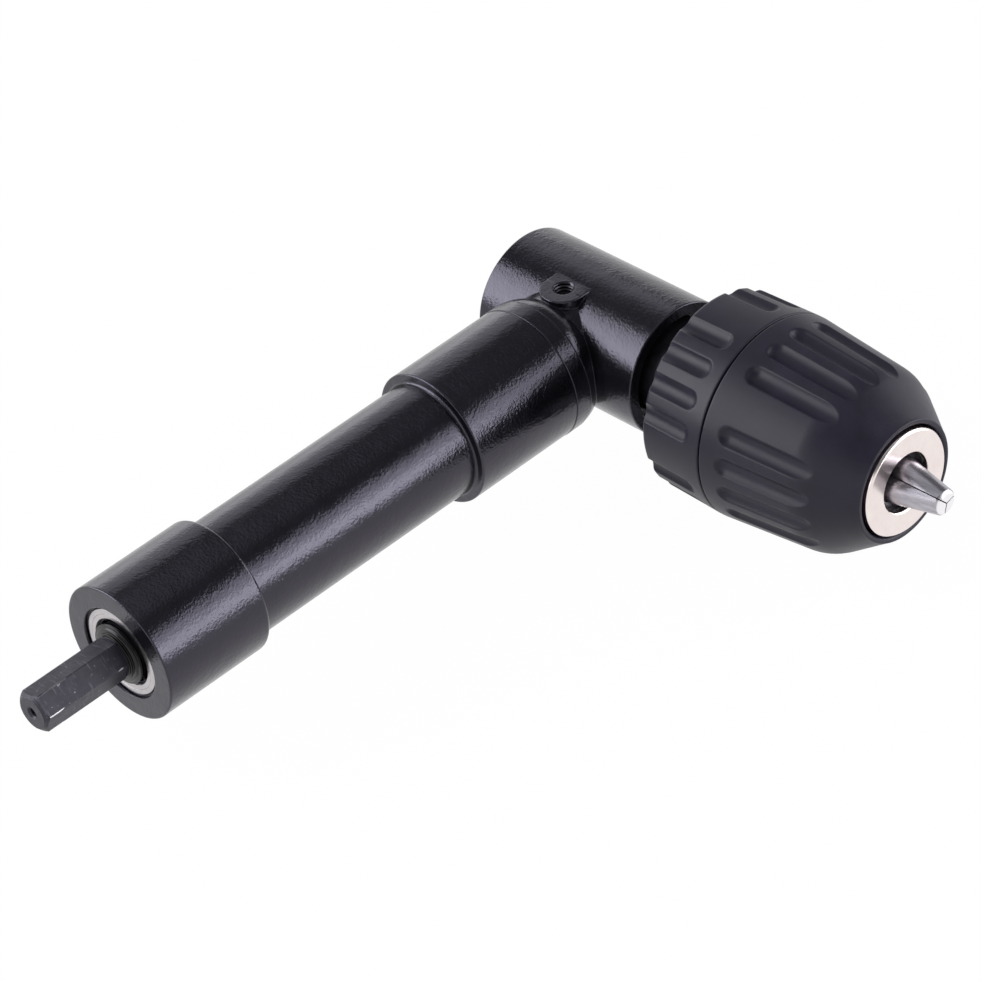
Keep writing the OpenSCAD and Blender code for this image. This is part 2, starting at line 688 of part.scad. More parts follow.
module output_spindle() {
    color("#2c2b31") {
        along_output(rear_brg_end + break_edge)
            cylinder(d = spindle_d, h = front_brg_z - rear_brg_end - break_edge);
        along_output(front_brg_z - seat_gap)
            cylinder(d = front_journal_d, h = front_brg_w + 2 * seat_gap);
        along_output(front_brg_end + seat_gap)
            rounded_tube(spindle_collar_d, 0, body_rear_z - front_brg_end - 2 * seat_gap,
                break_edge, break_edge);
        along_output(body_rear_z - seat_gap) cylinder(d = thread_d, h = nose_thread_len);
    }
}

module front_bearing_outer_ring() {
    color("#c9c5c3") along_output(front_brg_z)
        outer_race(front_journal_d, head_bore, front_brg_w, front_ball_d, front_ring_t);
}

module front_bearing_balls() {
    color("#b4b0b0") along_output(front_brg_z)
        bearing_balls(front_journal_d, head_bore, front_brg_w, front_ball_d, front_balls);
}

module front_bearing_cage() {
    color("#8d8a8a") along_output(front_brg_z)
        ball_cage(front_journal_d, head_bore, front_brg_w, front_ball_d, front_balls);
}

module front_bearing_inner_ring() {
    color("#c9c5c3") along_output(front_brg_z)
        inner_race(front_journal_d + 2 * seat_gap, head_bore - 2 * seat_gap, front_brg_w,
            front_ball_d, front_ring_t);
}

module front_bearing_circlip() {
    color("#3a3a3e") along_output(front_circlip_z + seat_gap) bore_circlip(head_bore);
}

module rear_bearing_outer_ring() {
    color("#c9c5c3") along_output(rear_brg_end + seat_gap)
        outer_race(spindle_d, rear_brg_d, rear_brg_w - seat_gap, rear_ball_d, rear_ring_t);
}

module rear_bearing_balls() {
    color("#b4b0b0") along_output(rear_brg_end + seat_gap)
        bearing_balls(spindle_d, rear_brg_d, rear_brg_w - seat_gap, rear_ball_d, rear_balls);
}

module rear_bearing_cage() {
    color("#8d8a8a") along_output(rear_brg_end + seat_gap)
        ball_cage(spindle_d, rear_brg_d, rear_brg_w - seat_gap, rear_ball_d, rear_balls);
}

module rear_bearing_inner_ring() {
    color("#c9c5c3") along_output(rear_brg_end + seat_gap)
        inner_race(spindle_d + 2 * seat_gap, rear_brg_d - 2 * seat_gap,
            rear_brg_w - seat_gap, rear_ball_d, rear_ring_t);
}

// The slanted rod that each jaw is ground from, first along the angle 0
module jaw_rod(r, back, front) {
    translate([jaw_tip_axis, 0, tip_u]) rotate([0, -jaw_tilt, 0])
        translate([0, 0, -back]) cylinder(r = r, h = back + front);
}

module chuck_body() {
    color("#8e8c90") along_output(chuck_rear) difference() {
        rotate_extrude() polygon([
            [0, body_inset], [flange_d / 2 - break_edge, body_inset],
            [flange_d / 2, body_inset + break_edge],
            [flange_d / 2, body_inset + flange_len],
            [shoulder_d / 2, body_inset + flange_len],
            [shoulder_d / 2, thrust_u], [groove_d / 2, thrust_u],
            [groove_d / 2, groove_end_u], [front_body_d / 2, groove_end_u],
            [front_body_d / 2, ring_rear_u - seat_gap],
            [spigot_d / 2, ring_rear_u - seat_gap],
            [spigot_d / 2, nose_u - ring_web - seat_gap],
            [0, nose_u - ring_web - seat_gap]]);
        cylinder(d = thread_d + 2 * seat_gap, h = body_inset + thread_depth);
        translate([0, 0, body_inset + thread_depth - seat_gap])
            cylinder(d = chuck_bore, h = ring_rear_u - body_inset - thread_depth);
        translate([0, 0, ring_rear_u - seat_gap]) cylinder(d = nose_hole_d, h = nose_ring_len);
        for (i = [0:2]) rotate([0, 0, jaw_angle + 120 * i])
            jaw_rod(jaw_bore_r, jaw_len + jaw_travel + break_edge,
                -(tip_u - nose_u) / cos(jaw_tilt));
    }
}

// A round cutter for one flute, along a slanted line from one end to the other
module flute_cutter(r_from, u_from, r_to, u_to) {
    length = norm([r_to - r_from, u_to - u_from]);
    slope = atan2(r_to - r_from, u_to - u_from);
    translate([r_from + flute_r - flute_depth, 0, u_from]) rotate([0, slope, 0]) {
        cylinder(r = flute_r, h = length, $fn = ball_fn);
        sphere(r = flute_r, $fn = ball_fn);
    }
}

module fluted(first) {
    for (i = [0:flute_places - 1])
        if (i % flute_group != 0)
            rotate([0, 0, first + 360 * i / flute_places]) children();
}

module rear_sleeve() {
    end_u = split_u - split_gap / 2;
    color("#302f35") along_output(chuck_rear) difference() {
        rotate_extrude() polygon(concat(
            [[flange_d / 2 + seat_gap, body_inset], [flange_d / 2 + seat_gap, 0]],
            arc(rim_d / 2 - rim_r, rim_r, rim_r, -90, 0, corner_steps),
            [[split_d / 2, end_u - break_edge], [split_d / 2 - break_edge, end_u],
            [jacket_d / 2, end_u], [flange_d / 2 + seat_gap, body_inset + flange_len]]));
        fluted(rear_land_angle)
            translate([0, 0, rear_flute_u - flute_r]) mirror([0, 0, 1])
                flute_cutter(split_d / 2, 0, rim_d / 2, rear_flute_u);
    }
}

module nose_ring() {
    ring_r = nose_ring_d / 2;
    hole_r = nose_hole_d / 2;
    color("#e9e2df") along_output(chuck_rear) rotate_extrude() polygon([
        [spigot_d / 2 + seat_gap, ring_rear_u], [ring_r, ring_rear_u],
        [ring_r, nose_u - nose_chamfer], [ring_r - nose_chamfer, nose_u],
        [hole_r + break_edge, nose_u], [hole_r, nose_u - break_edge],
        [hole_r, nose_u - ring_web], [spigot_d / 2 + seat_gap, nose_u - ring_web]]);
}

module thrust_race() {
    color("#b4b0b0") along_output(chuck_rear + thrust_u + seat_gap)
        ring(shoulder_d - 2 * seat_gap, thrust_bore(), race_t - seat_gap);
}
function thrust_bore() = 2 * (jaw_outer_r(thrust_u) + free_gap);

module thrust_bearing_balls() {
    track = (shoulder_d + thrust_bore()) / 4;
    color("#b4b0b0") along_output(chuck_rear + thrust_u + race_t + run_gap
            + thrust_ball_d / 2)
        for (i = [0:thrust_balls - 1]) rotate([0, 0, 360 * i / thrust_balls])
            translate([track, 0, 0]) sphere(d = thrust_ball_d, $fn = ball_fn);
}

// The nut, broken in two halves so that it goes round the body's groove
module split_nut() {
    color("#8e8c90") along_output(chuck_rear) difference() {
        translate([0, 0, nut_rear_u]) cylinder(d = nut_d, h = nut_len);
        translate([0, 0, nut_rear_u - cut])
            cylinder(r1 = jaw_outer_r(nut_rear_u - cut) + 2 * run_gap,
                r2 = jaw_outer_r(nut_front_u + cut) + 2 * run_gap, h = nut_len + 2 * cut);
        translate([-nut_d, -jaw_gap, nut_rear_u - cut])
            cube([2 * nut_d, 2 * jaw_gap, nut_len + 2 * cut]);
    }
}

module nut_jacket() {
    color("#b4b0b0") along_output(chuck_rear + nut_rear_u)
        ring(jacket_d, nut_d + 2 * seat_gap, nut_len);
}

// Outline of the front sleeve: a taper, a round, and a cone that leaves the round on its
// tangent and ends at the flat lip
function front_taper() = atan2(split_d / 2 - taper_d / 2, taper_u - split_u);
function front_outline() = let (
        t = front_taper(),
        cx = taper_d / 2 - nose_round * cos(t),
        cy = taper_u - nose_round * sin(t),
        inner_r = nose_ring_d / 2 + nose_gap,
        lip_r = inner_r + lip_face,
        far = norm([lip_r - cx, sleeve_end_u - break_edge - cy]),
        cone = atan2(sleeve_end_u - break_edge - cy, lip_r - cx) - acos(nose_round / far))
    concat(arc(cx, cy, nose_round, t, cone, round_steps),
        [[lip_r, sleeve_end_u - break_edge], [lip_r - break_edge, sleeve_end_u],
         [inner_r + break_edge, sleeve_end_u], [inner_r, sleeve_end_u - break_edge]]);

module front_sleeve() {
    start_u = split_u + split_gap / 2;
    flute_u = split_u + front_flute_start + flute_r;
    slope = (split_d - taper_d) / 2 / (taper_u - split_u);
    inner_r = nose_ring_d / 2 + nose_gap;
    color("#302f35") along_output(chuck_rear) difference() {
        rotate_extrude() polygon(concat(
            [[jacket_d / 2 + seat_gap, start_u], [split_d / 2 - break_edge, start_u],
             [split_d / 2, start_u + break_edge]],
            front_outline(),
            [[inner_r, nut_front_u + seat_gap],
             [jacket_d / 2 + seat_gap, nut_front_u + seat_gap]]));
        fluted(front_land_angle)
            flute_cutter(split_d / 2 - (flute_u - split_u) * slope, flute_u,
                split_d / 2 - (nose_u - split_u) * slope, nose_u);
    }
}

// One jaw: the slanted rod between two planes at 120 degrees, with a flat chamfered tip
module jaw(index) {
    wedge = 2 * split_d;
    apex = jaw_gap / sin(60);
    color("#9b989e") along_output(chuck_rear) rotate([0, 0, jaw_angle + 120 * index])
        intersection() {
            jaw_rod(jaw_rod_r, jaw_len, jaw_d);
            linear_extrude(height = tip_u) polygon([[apex, 0],
                [apex + wedge * cos(60), -wedge * sin(60)],
                [apex + wedge * cos(60), wedge * sin(60)]]);
            translate([0, 0, tip_u - jaw_d - jaw_len])
                cylinder(r1 = jaw_tip_r - jaw_chamfer + jaw_d + jaw_len,
                    r2 = jaw_tip_r - jaw_chamfer, h = jaw_d + jaw_len);
        }
}
module jaw_1() { jaw(0); }
module jaw_2() { jaw(1); }
module jaw_3() { jaw(2); }

tail_sleeve();
main_tube();
head_sleeve();
neck_ring();
gear_head();
rear_cap();
tail_bearing_outer_ring();
tail_bearing_shield();
tail_bearing_balls();
tail_bearing_cage();
tail_bearing_inner_ring();
pinion_bearing_outer_ring();
pinion_bearing_balls();
pinion_bearing_cage();
pinion_bearing_inner_ring();
pinion_bearing_circlip();
shaft_circlip();
input_shaft();
bevel_pinion();
bevel_gear();
output_spindle();
front_bearing_outer_ring();
front_bearing_balls();
front_bearing_cage();
front_bearing_inner_ring();
front_bearing_circlip();
rear_bearing_outer_ring();
rear_bearing_balls();
rear_bearing_cage();
rear_bearing_inner_ring();
chuck_body();
rear_sleeve();
nose_ring();
thrust_race();
thrust_bearing_balls();
split_nut();
nut_jacket();
front_sleeve();
jaw_1();
jaw_2();
jaw_3();
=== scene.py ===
"""Looks of the right angle drill attachment, laid out as an add-on and run as a script."""

import math

import bmesh
import bpy
from mathutils import Matrix, Vector


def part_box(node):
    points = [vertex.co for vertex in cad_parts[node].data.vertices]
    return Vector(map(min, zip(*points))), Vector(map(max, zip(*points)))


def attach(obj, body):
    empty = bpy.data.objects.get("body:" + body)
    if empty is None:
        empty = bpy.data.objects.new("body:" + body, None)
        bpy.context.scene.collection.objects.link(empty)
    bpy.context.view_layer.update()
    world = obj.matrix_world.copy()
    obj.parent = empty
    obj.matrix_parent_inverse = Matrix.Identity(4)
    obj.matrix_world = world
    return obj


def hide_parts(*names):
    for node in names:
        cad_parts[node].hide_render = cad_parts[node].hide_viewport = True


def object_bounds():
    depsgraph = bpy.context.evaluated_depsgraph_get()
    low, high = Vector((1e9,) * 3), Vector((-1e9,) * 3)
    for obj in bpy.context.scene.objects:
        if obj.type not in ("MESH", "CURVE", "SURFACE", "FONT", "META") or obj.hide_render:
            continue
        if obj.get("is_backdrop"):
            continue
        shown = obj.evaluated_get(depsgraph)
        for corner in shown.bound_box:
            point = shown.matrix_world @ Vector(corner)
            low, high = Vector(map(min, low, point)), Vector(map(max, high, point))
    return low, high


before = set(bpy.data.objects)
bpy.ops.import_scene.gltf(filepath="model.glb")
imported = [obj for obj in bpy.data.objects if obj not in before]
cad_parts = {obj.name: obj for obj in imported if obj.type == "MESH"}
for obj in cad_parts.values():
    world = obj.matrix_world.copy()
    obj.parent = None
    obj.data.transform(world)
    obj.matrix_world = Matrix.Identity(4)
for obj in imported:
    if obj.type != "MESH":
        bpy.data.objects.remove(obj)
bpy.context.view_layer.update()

bl_info = {
    "name": "Right angle drill attachment",
    "version": (1, 0, 0),
    "blender": (4, 5, 0),
    "location": "View3D > Sidebar > Attachment",
    "description": "Models and finishes the visible pieces of a right angle drill attachment",
    "category": "Object",
}

MM = 0.001
PLAY = 0.02 * MM
WELD = 1e-6
ROUND_SEGMENTS = 4
SMOOTH_ANGLE = math.radians(32)
SOFT_ANGLE = math.radians(50)


# Sizes, most of them read from the frame

def mm(*sizes):
    """Millimetres in the metres of the frame."""
    return [size * MM for size in sizes]


def low(node):
    """Lowest corner of a node of the frame."""
    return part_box(node)[0]


def high(node):
    """Highest corner of a node of the frame."""
    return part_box(node)[1]


def radius(node):
    """Radius of a round node of the frame, from its height."""
    return (high(node).z - low(node).z) / 2


def input_span(node):
    """Start and end of a node along the input axis."""
    return low(node).x, high(node).x


def output_span(node):
    """Start and end of a node along the output axis, which points along -Y."""
    return -high(node).y, -low(node).y


AXIS_X = high("nose_ring").x - radius("nose_ring")
INPUT = Matrix.Rotation(math.radians(90), 4, "Y")
OUTPUT = Matrix.Translation((AXIS_X, 0, 0)) @ Matrix.Rotation(math.radians(90), 4, "X")
LUG_REACH = 7.2 * MM
LUG_X = AXIS_X - LUG_REACH
LUG_TOP = 13.9 * MM


# Modelling helpers

def deselect():
    """Leaves nothing selected, since an operator acts on all that is."""
    if bpy.context.object and bpy.context.object.mode != "OBJECT":
        bpy.ops.object.mode_set(mode="OBJECT")
    bpy.ops.object.select_all(action="DESELECT")


def activate(piece):
    """Selects one object alone and makes it the active one."""
    deselect()
    piece.select_set(True)
    bpy.context.view_layer.objects.active = piece


def edit(piece, kind="VERT"):
    """Enters edit mode on one object with nothing selected."""
    activate(piece)
    bpy.ops.object.mode_set(mode="EDIT")
    bpy.ops.mesh.select_mode(type=kind)
    bpy.ops.mesh.select_all(action="DESELECT")
    return bmesh.from_edit_mesh(piece.data)


def leave_edit():
    """Goes back to object mode."""
    bpy.ops.object.mode_set(mode="OBJECT")


def keep_place():
    """Moves the active object's place, turn and scale into its mesh."""
    bpy.ops.object.transform_apply(location=True, rotation=True, scale=True)


def select_edges(piece, test):
    """Enters edit mode and selects the edges whose two ends pass a test."""
    mesh = edit(piece, "EDGE")
    for edge in mesh.edges:
        edge.select_set(all(test(v.co) for v in edge.verts))
    mesh.select_flush_mode()
    bmesh.update_edit_mesh(piece.data)


def select_faces(piece, test):
    """Enters edit mode and selects the faces that pass a test."""
    mesh = edit(piece, "FACE")
    for face in mesh.faces:
        face.select_set(test(face))
    bmesh.update_edit_mesh(piece.data)


def seal(weld, cap):
    """Ends the edit of a shape: welds its ends, caps its holes and turns its faces outward."""
    bpy.ops.mesh.select_all(action="SELECT")
    if weld:
        bpy.ops.mesh.remove_doubles(threshold=WELD)
    if cap:
        bpy.ops.mesh.fill_holes(sides=0)
    bpy.ops.mesh.normals_make_consistent(inside=False)
    leave_edit()


def saw(piece, point, normal):
    """Cuts away what lies beyond a plane and closes the cut."""
    edit(piece)
    bpy.ops.mesh.select_all(action="SELECT")
    bpy.ops.mesh.bisect(plane_co=point, plane_no=normal, use_fill=True, clear_outer=True)
    leave_edit()


def lathe(name, stations, segments, closed=False):
    """A turned shape about Z. Each station is (height, radius) or (height, radius, rounding).

    A closed section runs back to its first station; an open one is capped at both ends."""
    deselect()
    height, ring_r = stations[0][:2]
    bpy.ops.mesh.primitive_circle_add(vertices=segments, radius=ring_r, location=(0, 0, height))
    piece = bpy.context.object
    piece.name = name
    bpy.ops.object.mode_set(mode="EDIT")
    bpy.ops.mesh.select_all(action="SELECT")
    for station in stations[1:] + (stations[:1] if closed else []):
        rise, grow = station[0] - height, station[1] / ring_r
        bpy.ops.mesh.extrude_edges_move(TRANSFORM_OT_translate={"value": (0, 0, rise)})
        bpy.ops.transform.resize(value=(grow, grow, 1), center_override=(0, 0, station[0]))
        height, ring_r = station[:2]
    seal(weld=closed, cap=not closed)
    keep_place()
    for station in stations:
        if len(station) == 3:
            round_ring(piece, *station)
    return piece


def round_ring(piece, height, ring_r, rounding):
    """Bevels the ring of edges at a station of a turned shape."""
    select_edges(piece, lambda co: abs(co.z - height) < PLAY
                 and abs(math.hypot(co.x, co.y) - ring_r) < PLAY)
    bpy.ops.mesh.bevel(offset=rounding, segments=ROUND_SEGMENTS, affect="EDGES")
    leave_edit()


def cylinder(name, sides, rod_r, depth, **settings):
    """A solid cylinder or prism about Z, at the origin unless a place is given."""
    deselect()
    bpy.ops.mesh.primitive_cylinder_add(vertices=sides, radius=rod_r, depth=depth, **settings)
    piece = bpy.context.object
    piece.name = name
    keep_place()
    return piece


def place(piece, placement):
    """Moves a shape made about Z to its place and keeps the place in its mesh."""
    activate(piece)
    piece.matrix_world = placement
    keep_place()
    return piece


def turned(name, stations, segments, placement, closed=False):
    """A turned shape in its place."""
    return place(lathe(name, stations, segments, closed), placement)


def modify(piece, kind, **settings):
    """Adds a modifier with its settings and applies it."""
    activate(piece)
    bpy.ops.object.modifier_add(type=kind)
    modifier = piece.modifiers[-1]
    for key, value in settings.items():
        setattr(modifier, key, value)
    bpy.ops.object.modifier_apply(modifier=modifier.name)


def combine(piece, tool, operation):
    """Adds or cuts a tool shape, which is then deleted."""
    modify(piece, "BOOLEAN", object=tool, operation=operation, solver="EXACT")
    activate(tool)
    bpy.ops.object.delete()
    return piece


def finish_piece(piece, material, body, slot, *nodes, angle=SMOOTH_ANGLE, weighted=True):
    """Shades a piece, gives it its material and its body, and hides the nodes that it stands
    for.
    """
    activate(piece)
    bpy.ops.object.shade_smooth_by_angle(angle=angle)
    if weighted:
        modify(piece, "WEIGHTED_NORMAL", keep_sharp=True)
    piece.data.materials.clear()
    piece.data.materials.append(bpy.data.materials[material])
    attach(piece, body)
    if nodes:
        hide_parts(*nodes)


def dress(material, *nodes):
    """Gives nodes that keep their own shape a material."""
    for node in nodes:
        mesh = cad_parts[node].data
        mesh.materials.clear()
        mesh.materials.append(bpy.data.materials[material])


# Materials. A noise stays mostly within these ranges, which are spread over two values.

NOISE_SPAN = (0.3, 0.7)
PATCH_SPAN = (0.35, 0.7)
CLOUD_SPAN = (0.3, 0.72)


def linear(code):
    """Turns an sRGB hex colour to linear light."""
    values = [int(code[i:i + 2], 16) / 255 for i in (1, 3, 5)]
    return [v / 12.92 if v <= 0.04045 else ((v + 0.055) / 1.055) ** 2.4 for v in values] + [1]


def per_size(size_mm):
    """Texture scale at which one feature is as wide as this many millimetres."""
    return 1 / (size_mm * MM)


def add_node(tree, kind, settings=None, **links):
    """Adds a node with its properties and its inputs: values, hex colours or sockets.

    An input is named with _ for each space, or by its number, as i0."""
    node = tree.nodes.new(kind)
    for key, value in (settings or {}).items():
        setattr(node, key, value)
    for key, value in links.items():
        numbered = key[0] == "i" and key[1:].isdigit()
        socket = node.inputs[int(key[1:]) if numbered else key.replace("_", " ")]
        if isinstance(value, bpy.types.NodeSocket):
            tree.links.new(value, socket)
        else:
            socket.default_value = linear(value) if isinstance(value, str) else value
    return node


def new_material(name):
    """A material with an empty node tree."""
    material = bpy.data.materials.new(name)
    material.use_nodes = True
    material.node_tree.nodes.clear()
    return material


def close_material(tree, **surface):
    """Ends a material in one surface."""
    shader = add_node(tree, "ShaderNodeBsdfPrincipled", **surface)
    add_node(tree, "ShaderNodeOutputMaterial", Surface=shader.outputs[0])


def object_space(tree):
    """Object coordinates, so that a texture stays on a piece that moves."""
    return add_node(tree, "ShaderNodeTexCoord").outputs["Object"]


def scaled(tree, where, *scale):
    """Coordinates with a scale along X, Y and Z. Below 1 it draws a texture out."""
    return add_node(tree, "ShaderNodeMapping", Vector=where, Scale=scale).outputs[0]


def split(tree, where):
    """The three coordinates of a point, by name."""
    return add_node(tree, "ShaderNodeSeparateXYZ", Vector=where).outputs


def maths(tree, operation, first, second, **settings):
    """Result of an operation on two values or sockets."""
    return add_node(tree, "ShaderNodeMath", {"operation": operation, **settings}, i0=first,
                    i1=second).outputs[0]


def distance(tree, across, up):
    """Distance from an axis, from the two coordinates across it."""
    flat = add_node(tree, "ShaderNodeCombineXYZ", X=across, Y=up).outputs[0]
    return add_node(tree, "ShaderNodeVectorMath", {"operation": "LENGTH"},
                    i0=flat).outputs["Value"]


def ramp(tree, factor, start, end, first, last):
    """Maps a range of a factor to a range of values or of hex colours."""
    if not isinstance(first, str):
        return add_node(tree, "ShaderNodeMapRange", Value=factor, From_Min=start,
                        From_Max=end, To_Min=first, To_Max=last).outputs[0]
    node = add_node(tree, "ShaderNodeValToRGB", Fac=factor)
    for element, position, colour in zip(node.color_ramp.elements, (start, end), (first, last)):
        element.position, element.color = position, linear(colour)
    return node.outputs[0]


def mixed_colour(tree, factor, first, last):
    """Mixes two colours by a mask."""
    return add_node(tree, "ShaderNodeMix", {"data_type": "RGBA"}, i0=factor, i6=first,
                    i7=last).outputs[2]


def noise(tree, where, size_mm, detail=3.0, rough=0.6):
    """Noise whose features are this many millimetres wide."""
    return add_node(tree, "ShaderNodeTexNoise", Vector=where, Scale=per_size(size_mm),
                    Detail=detail, Roughness=rough).outputs["Fac"]


def bump(tree, height, depth_mm, under=None):
    """Turns a height from 0 to 1 into a surface normal, on top of another bump."""
    node = add_node(tree, "ShaderNodeBump", Height=height, Distance=depth_mm * MM,
                    Strength=1.0)
    if under:
        tree.links.new(under, node.inputs["Normal"])
    return node.outputs[0]


def worn_edges(tree, width_mm, amount):
    """Mask of the edges where handling has worn the finish, broken up by noise."""
    flat, sharp = 0.999, 0.90
    patch_size, kept, rubbed = 1.6, 0.42, 0.60
    soft = add_node(tree, "ShaderNodeBevel", {"samples": 8}, Radius=width_mm * MM).outputs[0]
    hard = add_node(tree, "ShaderNodeNewGeometry").outputs["Normal"]
    turn = add_node(tree, "ShaderNodeVectorMath", {"operation": "DOT_PRODUCT"}, i0=soft, i1=hard)
    edge = ramp(tree, turn.outputs["Value"], flat, sharp, 0.0, 1.0)
    patch = noise(tree, object_space(tree), patch_size, 4.0, 0.5)
    return maths(tree, "MULTIPLY", edge, ramp(tree, patch, kept, rubbed, 0.0, amount))


def black_enamel(finish):
    """Stove enamel sprayed on steel: glossy, with the fine skin of an orange where it levelled.

    The coat rounds off inner and outer corners, and it lies in slow waves over the tube."""
    swell_size, swell_depth, wave_size, haze_size = 11.0, 0.10, 2.6, 9.0
    clear, dull = 0.85, 1.2
    tree = new_material("black_stove_enamel").node_tree
    where = object_space(tree)
    coat = add_node(tree, "ShaderNodeBevel", {"samples": 6}, Radius=finish.coat_fillet * MM)
    normal = coat.outputs[0]
    for size_mm, depth_mm, detail in ((swell_size, swell_depth, 1.0),
                                      (wave_size, finish.wave_depth, 1.0),
                                      (finish.peel_size, finish.peel_depth, 1.0),
                                      (finish.grain_size, finish.grain_depth, 2.0)):
        normal = bump(tree, noise(tree, where, size_mm, detail), depth_mm, normal)
    haze = noise(tree, where, haze_size, 5.0)
    rough = ramp(tree, haze, *NOISE_SPAN, finish.enamel_roughness * clear,
                 finish.enamel_roughness * dull)
    tint = ramp(tree, haze, *PATCH_SPAN, finish.enamel_dark, finish.enamel_light)
    close_material(tree, Base_Color=tint, Roughness=rough, Normal=normal, IOR=1.6,
                   Specular_Tint=finish.enamel_gloss)


def moulded_plastic(finish):
    """Glass filled nylon from a spark eroded mould: matte, with a fine even grain."""
    patch_size, grain_size, grain_depth = 7.0, 0.24, 0.02
    rub_width, rub_amount, satin, matte = 0.30, 0.45, 0.38, 0.47
    tree = new_material("moulded_nylon").node_tree
    where = object_space(tree)
    patch = noise(tree, where, patch_size, 4.0)
    tint = ramp(tree, patch, *PATCH_SPAN, finish.plastic_dark, finish.plastic_light)
    worn = worn_edges(tree, rub_width, rub_amount)
    tint = mixed_colour(tree, worn, tint, finish.plastic_worn)
    grain = noise(tree, where, grain_size, 4.0, 0.65)
    close_material(tree, Base_Color=tint, IOR=1.5, Specular_IOR_Level=0.32,
                   Roughness=ramp(tree, patch, *NOISE_SPAN, satin, matte),
                   Normal=bump(tree, grain, grain_depth))


def turned_metal(name, dark, light, roughness, axis, ring_mm, wear=0.0, groove_mm=0.004,
                 metallic=1.0):
    """Metal with the fine rings that a lathe or a grinder leaves round its axis."""
    cloud_size, wear_width, clear, dull = 2.5, 0.18, 0.8, 1.25
    tree = new_material(name).node_tree
    where = object_space(tree)
    along, across, centre = ("X", "Y", 0) if axis == "X" else ("Y", "X", -AXIS_X)
    parts = split(tree, add_node(tree, "ShaderNodeMapping", Vector=where,
                                 Location=(centre, 0, 0)).outputs[0])
    path = maths(tree, "ADD", distance(tree, parts[across], parts["Z"]), parts[along])
    line = add_node(tree, "ShaderNodeTexNoise", {"noise_dimensions": "1D"}, W=path,
                    Scale=per_size(ring_mm), Detail=3.0, Roughness=0.7).outputs["Fac"]
    cloud = noise(tree, where, cloud_size, 5.0, 0.5)
    tint = ramp(tree, cloud, *CLOUD_SPAN, dark, light)
    if wear:
        tint = mixed_colour(tree, worn_edges(tree, wear_width, wear), tint, "#c9c6cc")
    close_material(tree, Base_Color=tint, Metallic=metallic, Normal=bump(tree, line, groove_mm),
                   Roughness=ramp(tree, line, *NOISE_SPAN, roughness * clear, roughness * dull))


def black_oxide(finish):
    """Blackened steel bar: satin, with draw marks along it, scratches and bright worn corners.

    The collar in front of the bearing is polished. The corners are told by their distance
    from the axis; the lower ones are worn most, and more so towards the tip."""
    drawn_size, rub_size, nick_size, chatter_size, cloud_size = 0.35, 1.3, 0.7, 0.5, 2.2
    collar_start, collar_full = mm(-1.6, -1.2)
    shank_end, shank_full = mm(-2.6, -3.0)
    rub_start, rub_full = mm(-6, -19)
    flat_r, corner_r = mm(4.50, 4.54)
    upper, lower = mm(2.2, 1.2)
    nick_span, nick_share, scuff_span, scuff_share = (0.66, 0.72), 0.8, (0.58, 0.72), 0.28
    corner_share, upper_share, root_rub, tip_rub = 0.9, 0.12, 0.60, 0.44
    mark_depth, chatter_depth, satin, matte, polished = 0.010, 0.012, 0.34, 0.50, 0.2
    tree = new_material("blackened_bar").node_tree
    where = object_space(tree)
    parts = split(tree, where)
    drawn = scaled(tree, where, 0.12, 1, 1)
    marks = noise(tree, drawn, drawn_size, 4.0, 0.7)
    chatter = noise(tree, scaled(tree, where, 1, 0.15, 0.15), chatter_size)
    cloud = noise(tree, where, cloud_size, 6.0)
    tint = ramp(tree, cloud, *CLOUD_SPAN, finish.oxide_dark, finish.oxide_light)
    collar = ramp(tree, parts["X"], collar_start, collar_full, 0.0, 1.0)
    tint = mixed_colour(tree, collar, tint, finish.collar)
    shank = ramp(tree, parts["X"], shank_end, shank_full, 0.0, 1.0)
    corner = ramp(tree, distance(tree, parts["Y"], parts["Z"]), flat_r, corner_r, 0.0,
                  corner_share)
    corner = maths(tree, "MULTIPLY", corner,
                   ramp(tree, parts["Z"], upper, lower, upper_share, 1.0))
    least = ramp(tree, parts["X"], rub_start, rub_full, root_rub, tip_rub)
    rubbed = maths(tree, "GREATER_THAN", noise(tree, drawn, rub_size, 2.0), least)
    nicks = ramp(tree, noise(tree, where, nick_size, 3.0, 0.7), *nick_span, 0.0, nick_share)
    scuffs = ramp(tree, chatter, *scuff_span, 0.0, scuff_share)
    for mask, colour in ((scuffs, finish.scuff), (nicks, finish.nick),
                         (maths(tree, "MULTIPLY", corner, rubbed), finish.bare_steel)):
        tint = mixed_colour(tree, maths(tree, "MULTIPLY", mask, shank), tint, colour)
    rough = add_node(tree, "ShaderNodeMix", i0=collar, i3=polished,
                     i2=ramp(tree, marks, *NOISE_SPAN, satin, matte))
    close_material(tree, Base_Color=tint, Metallic=0.35, Roughness=rough.outputs[0],
                   Normal=bump(tree, chatter, chatter_depth, bump(tree, marks, mark_depth)))


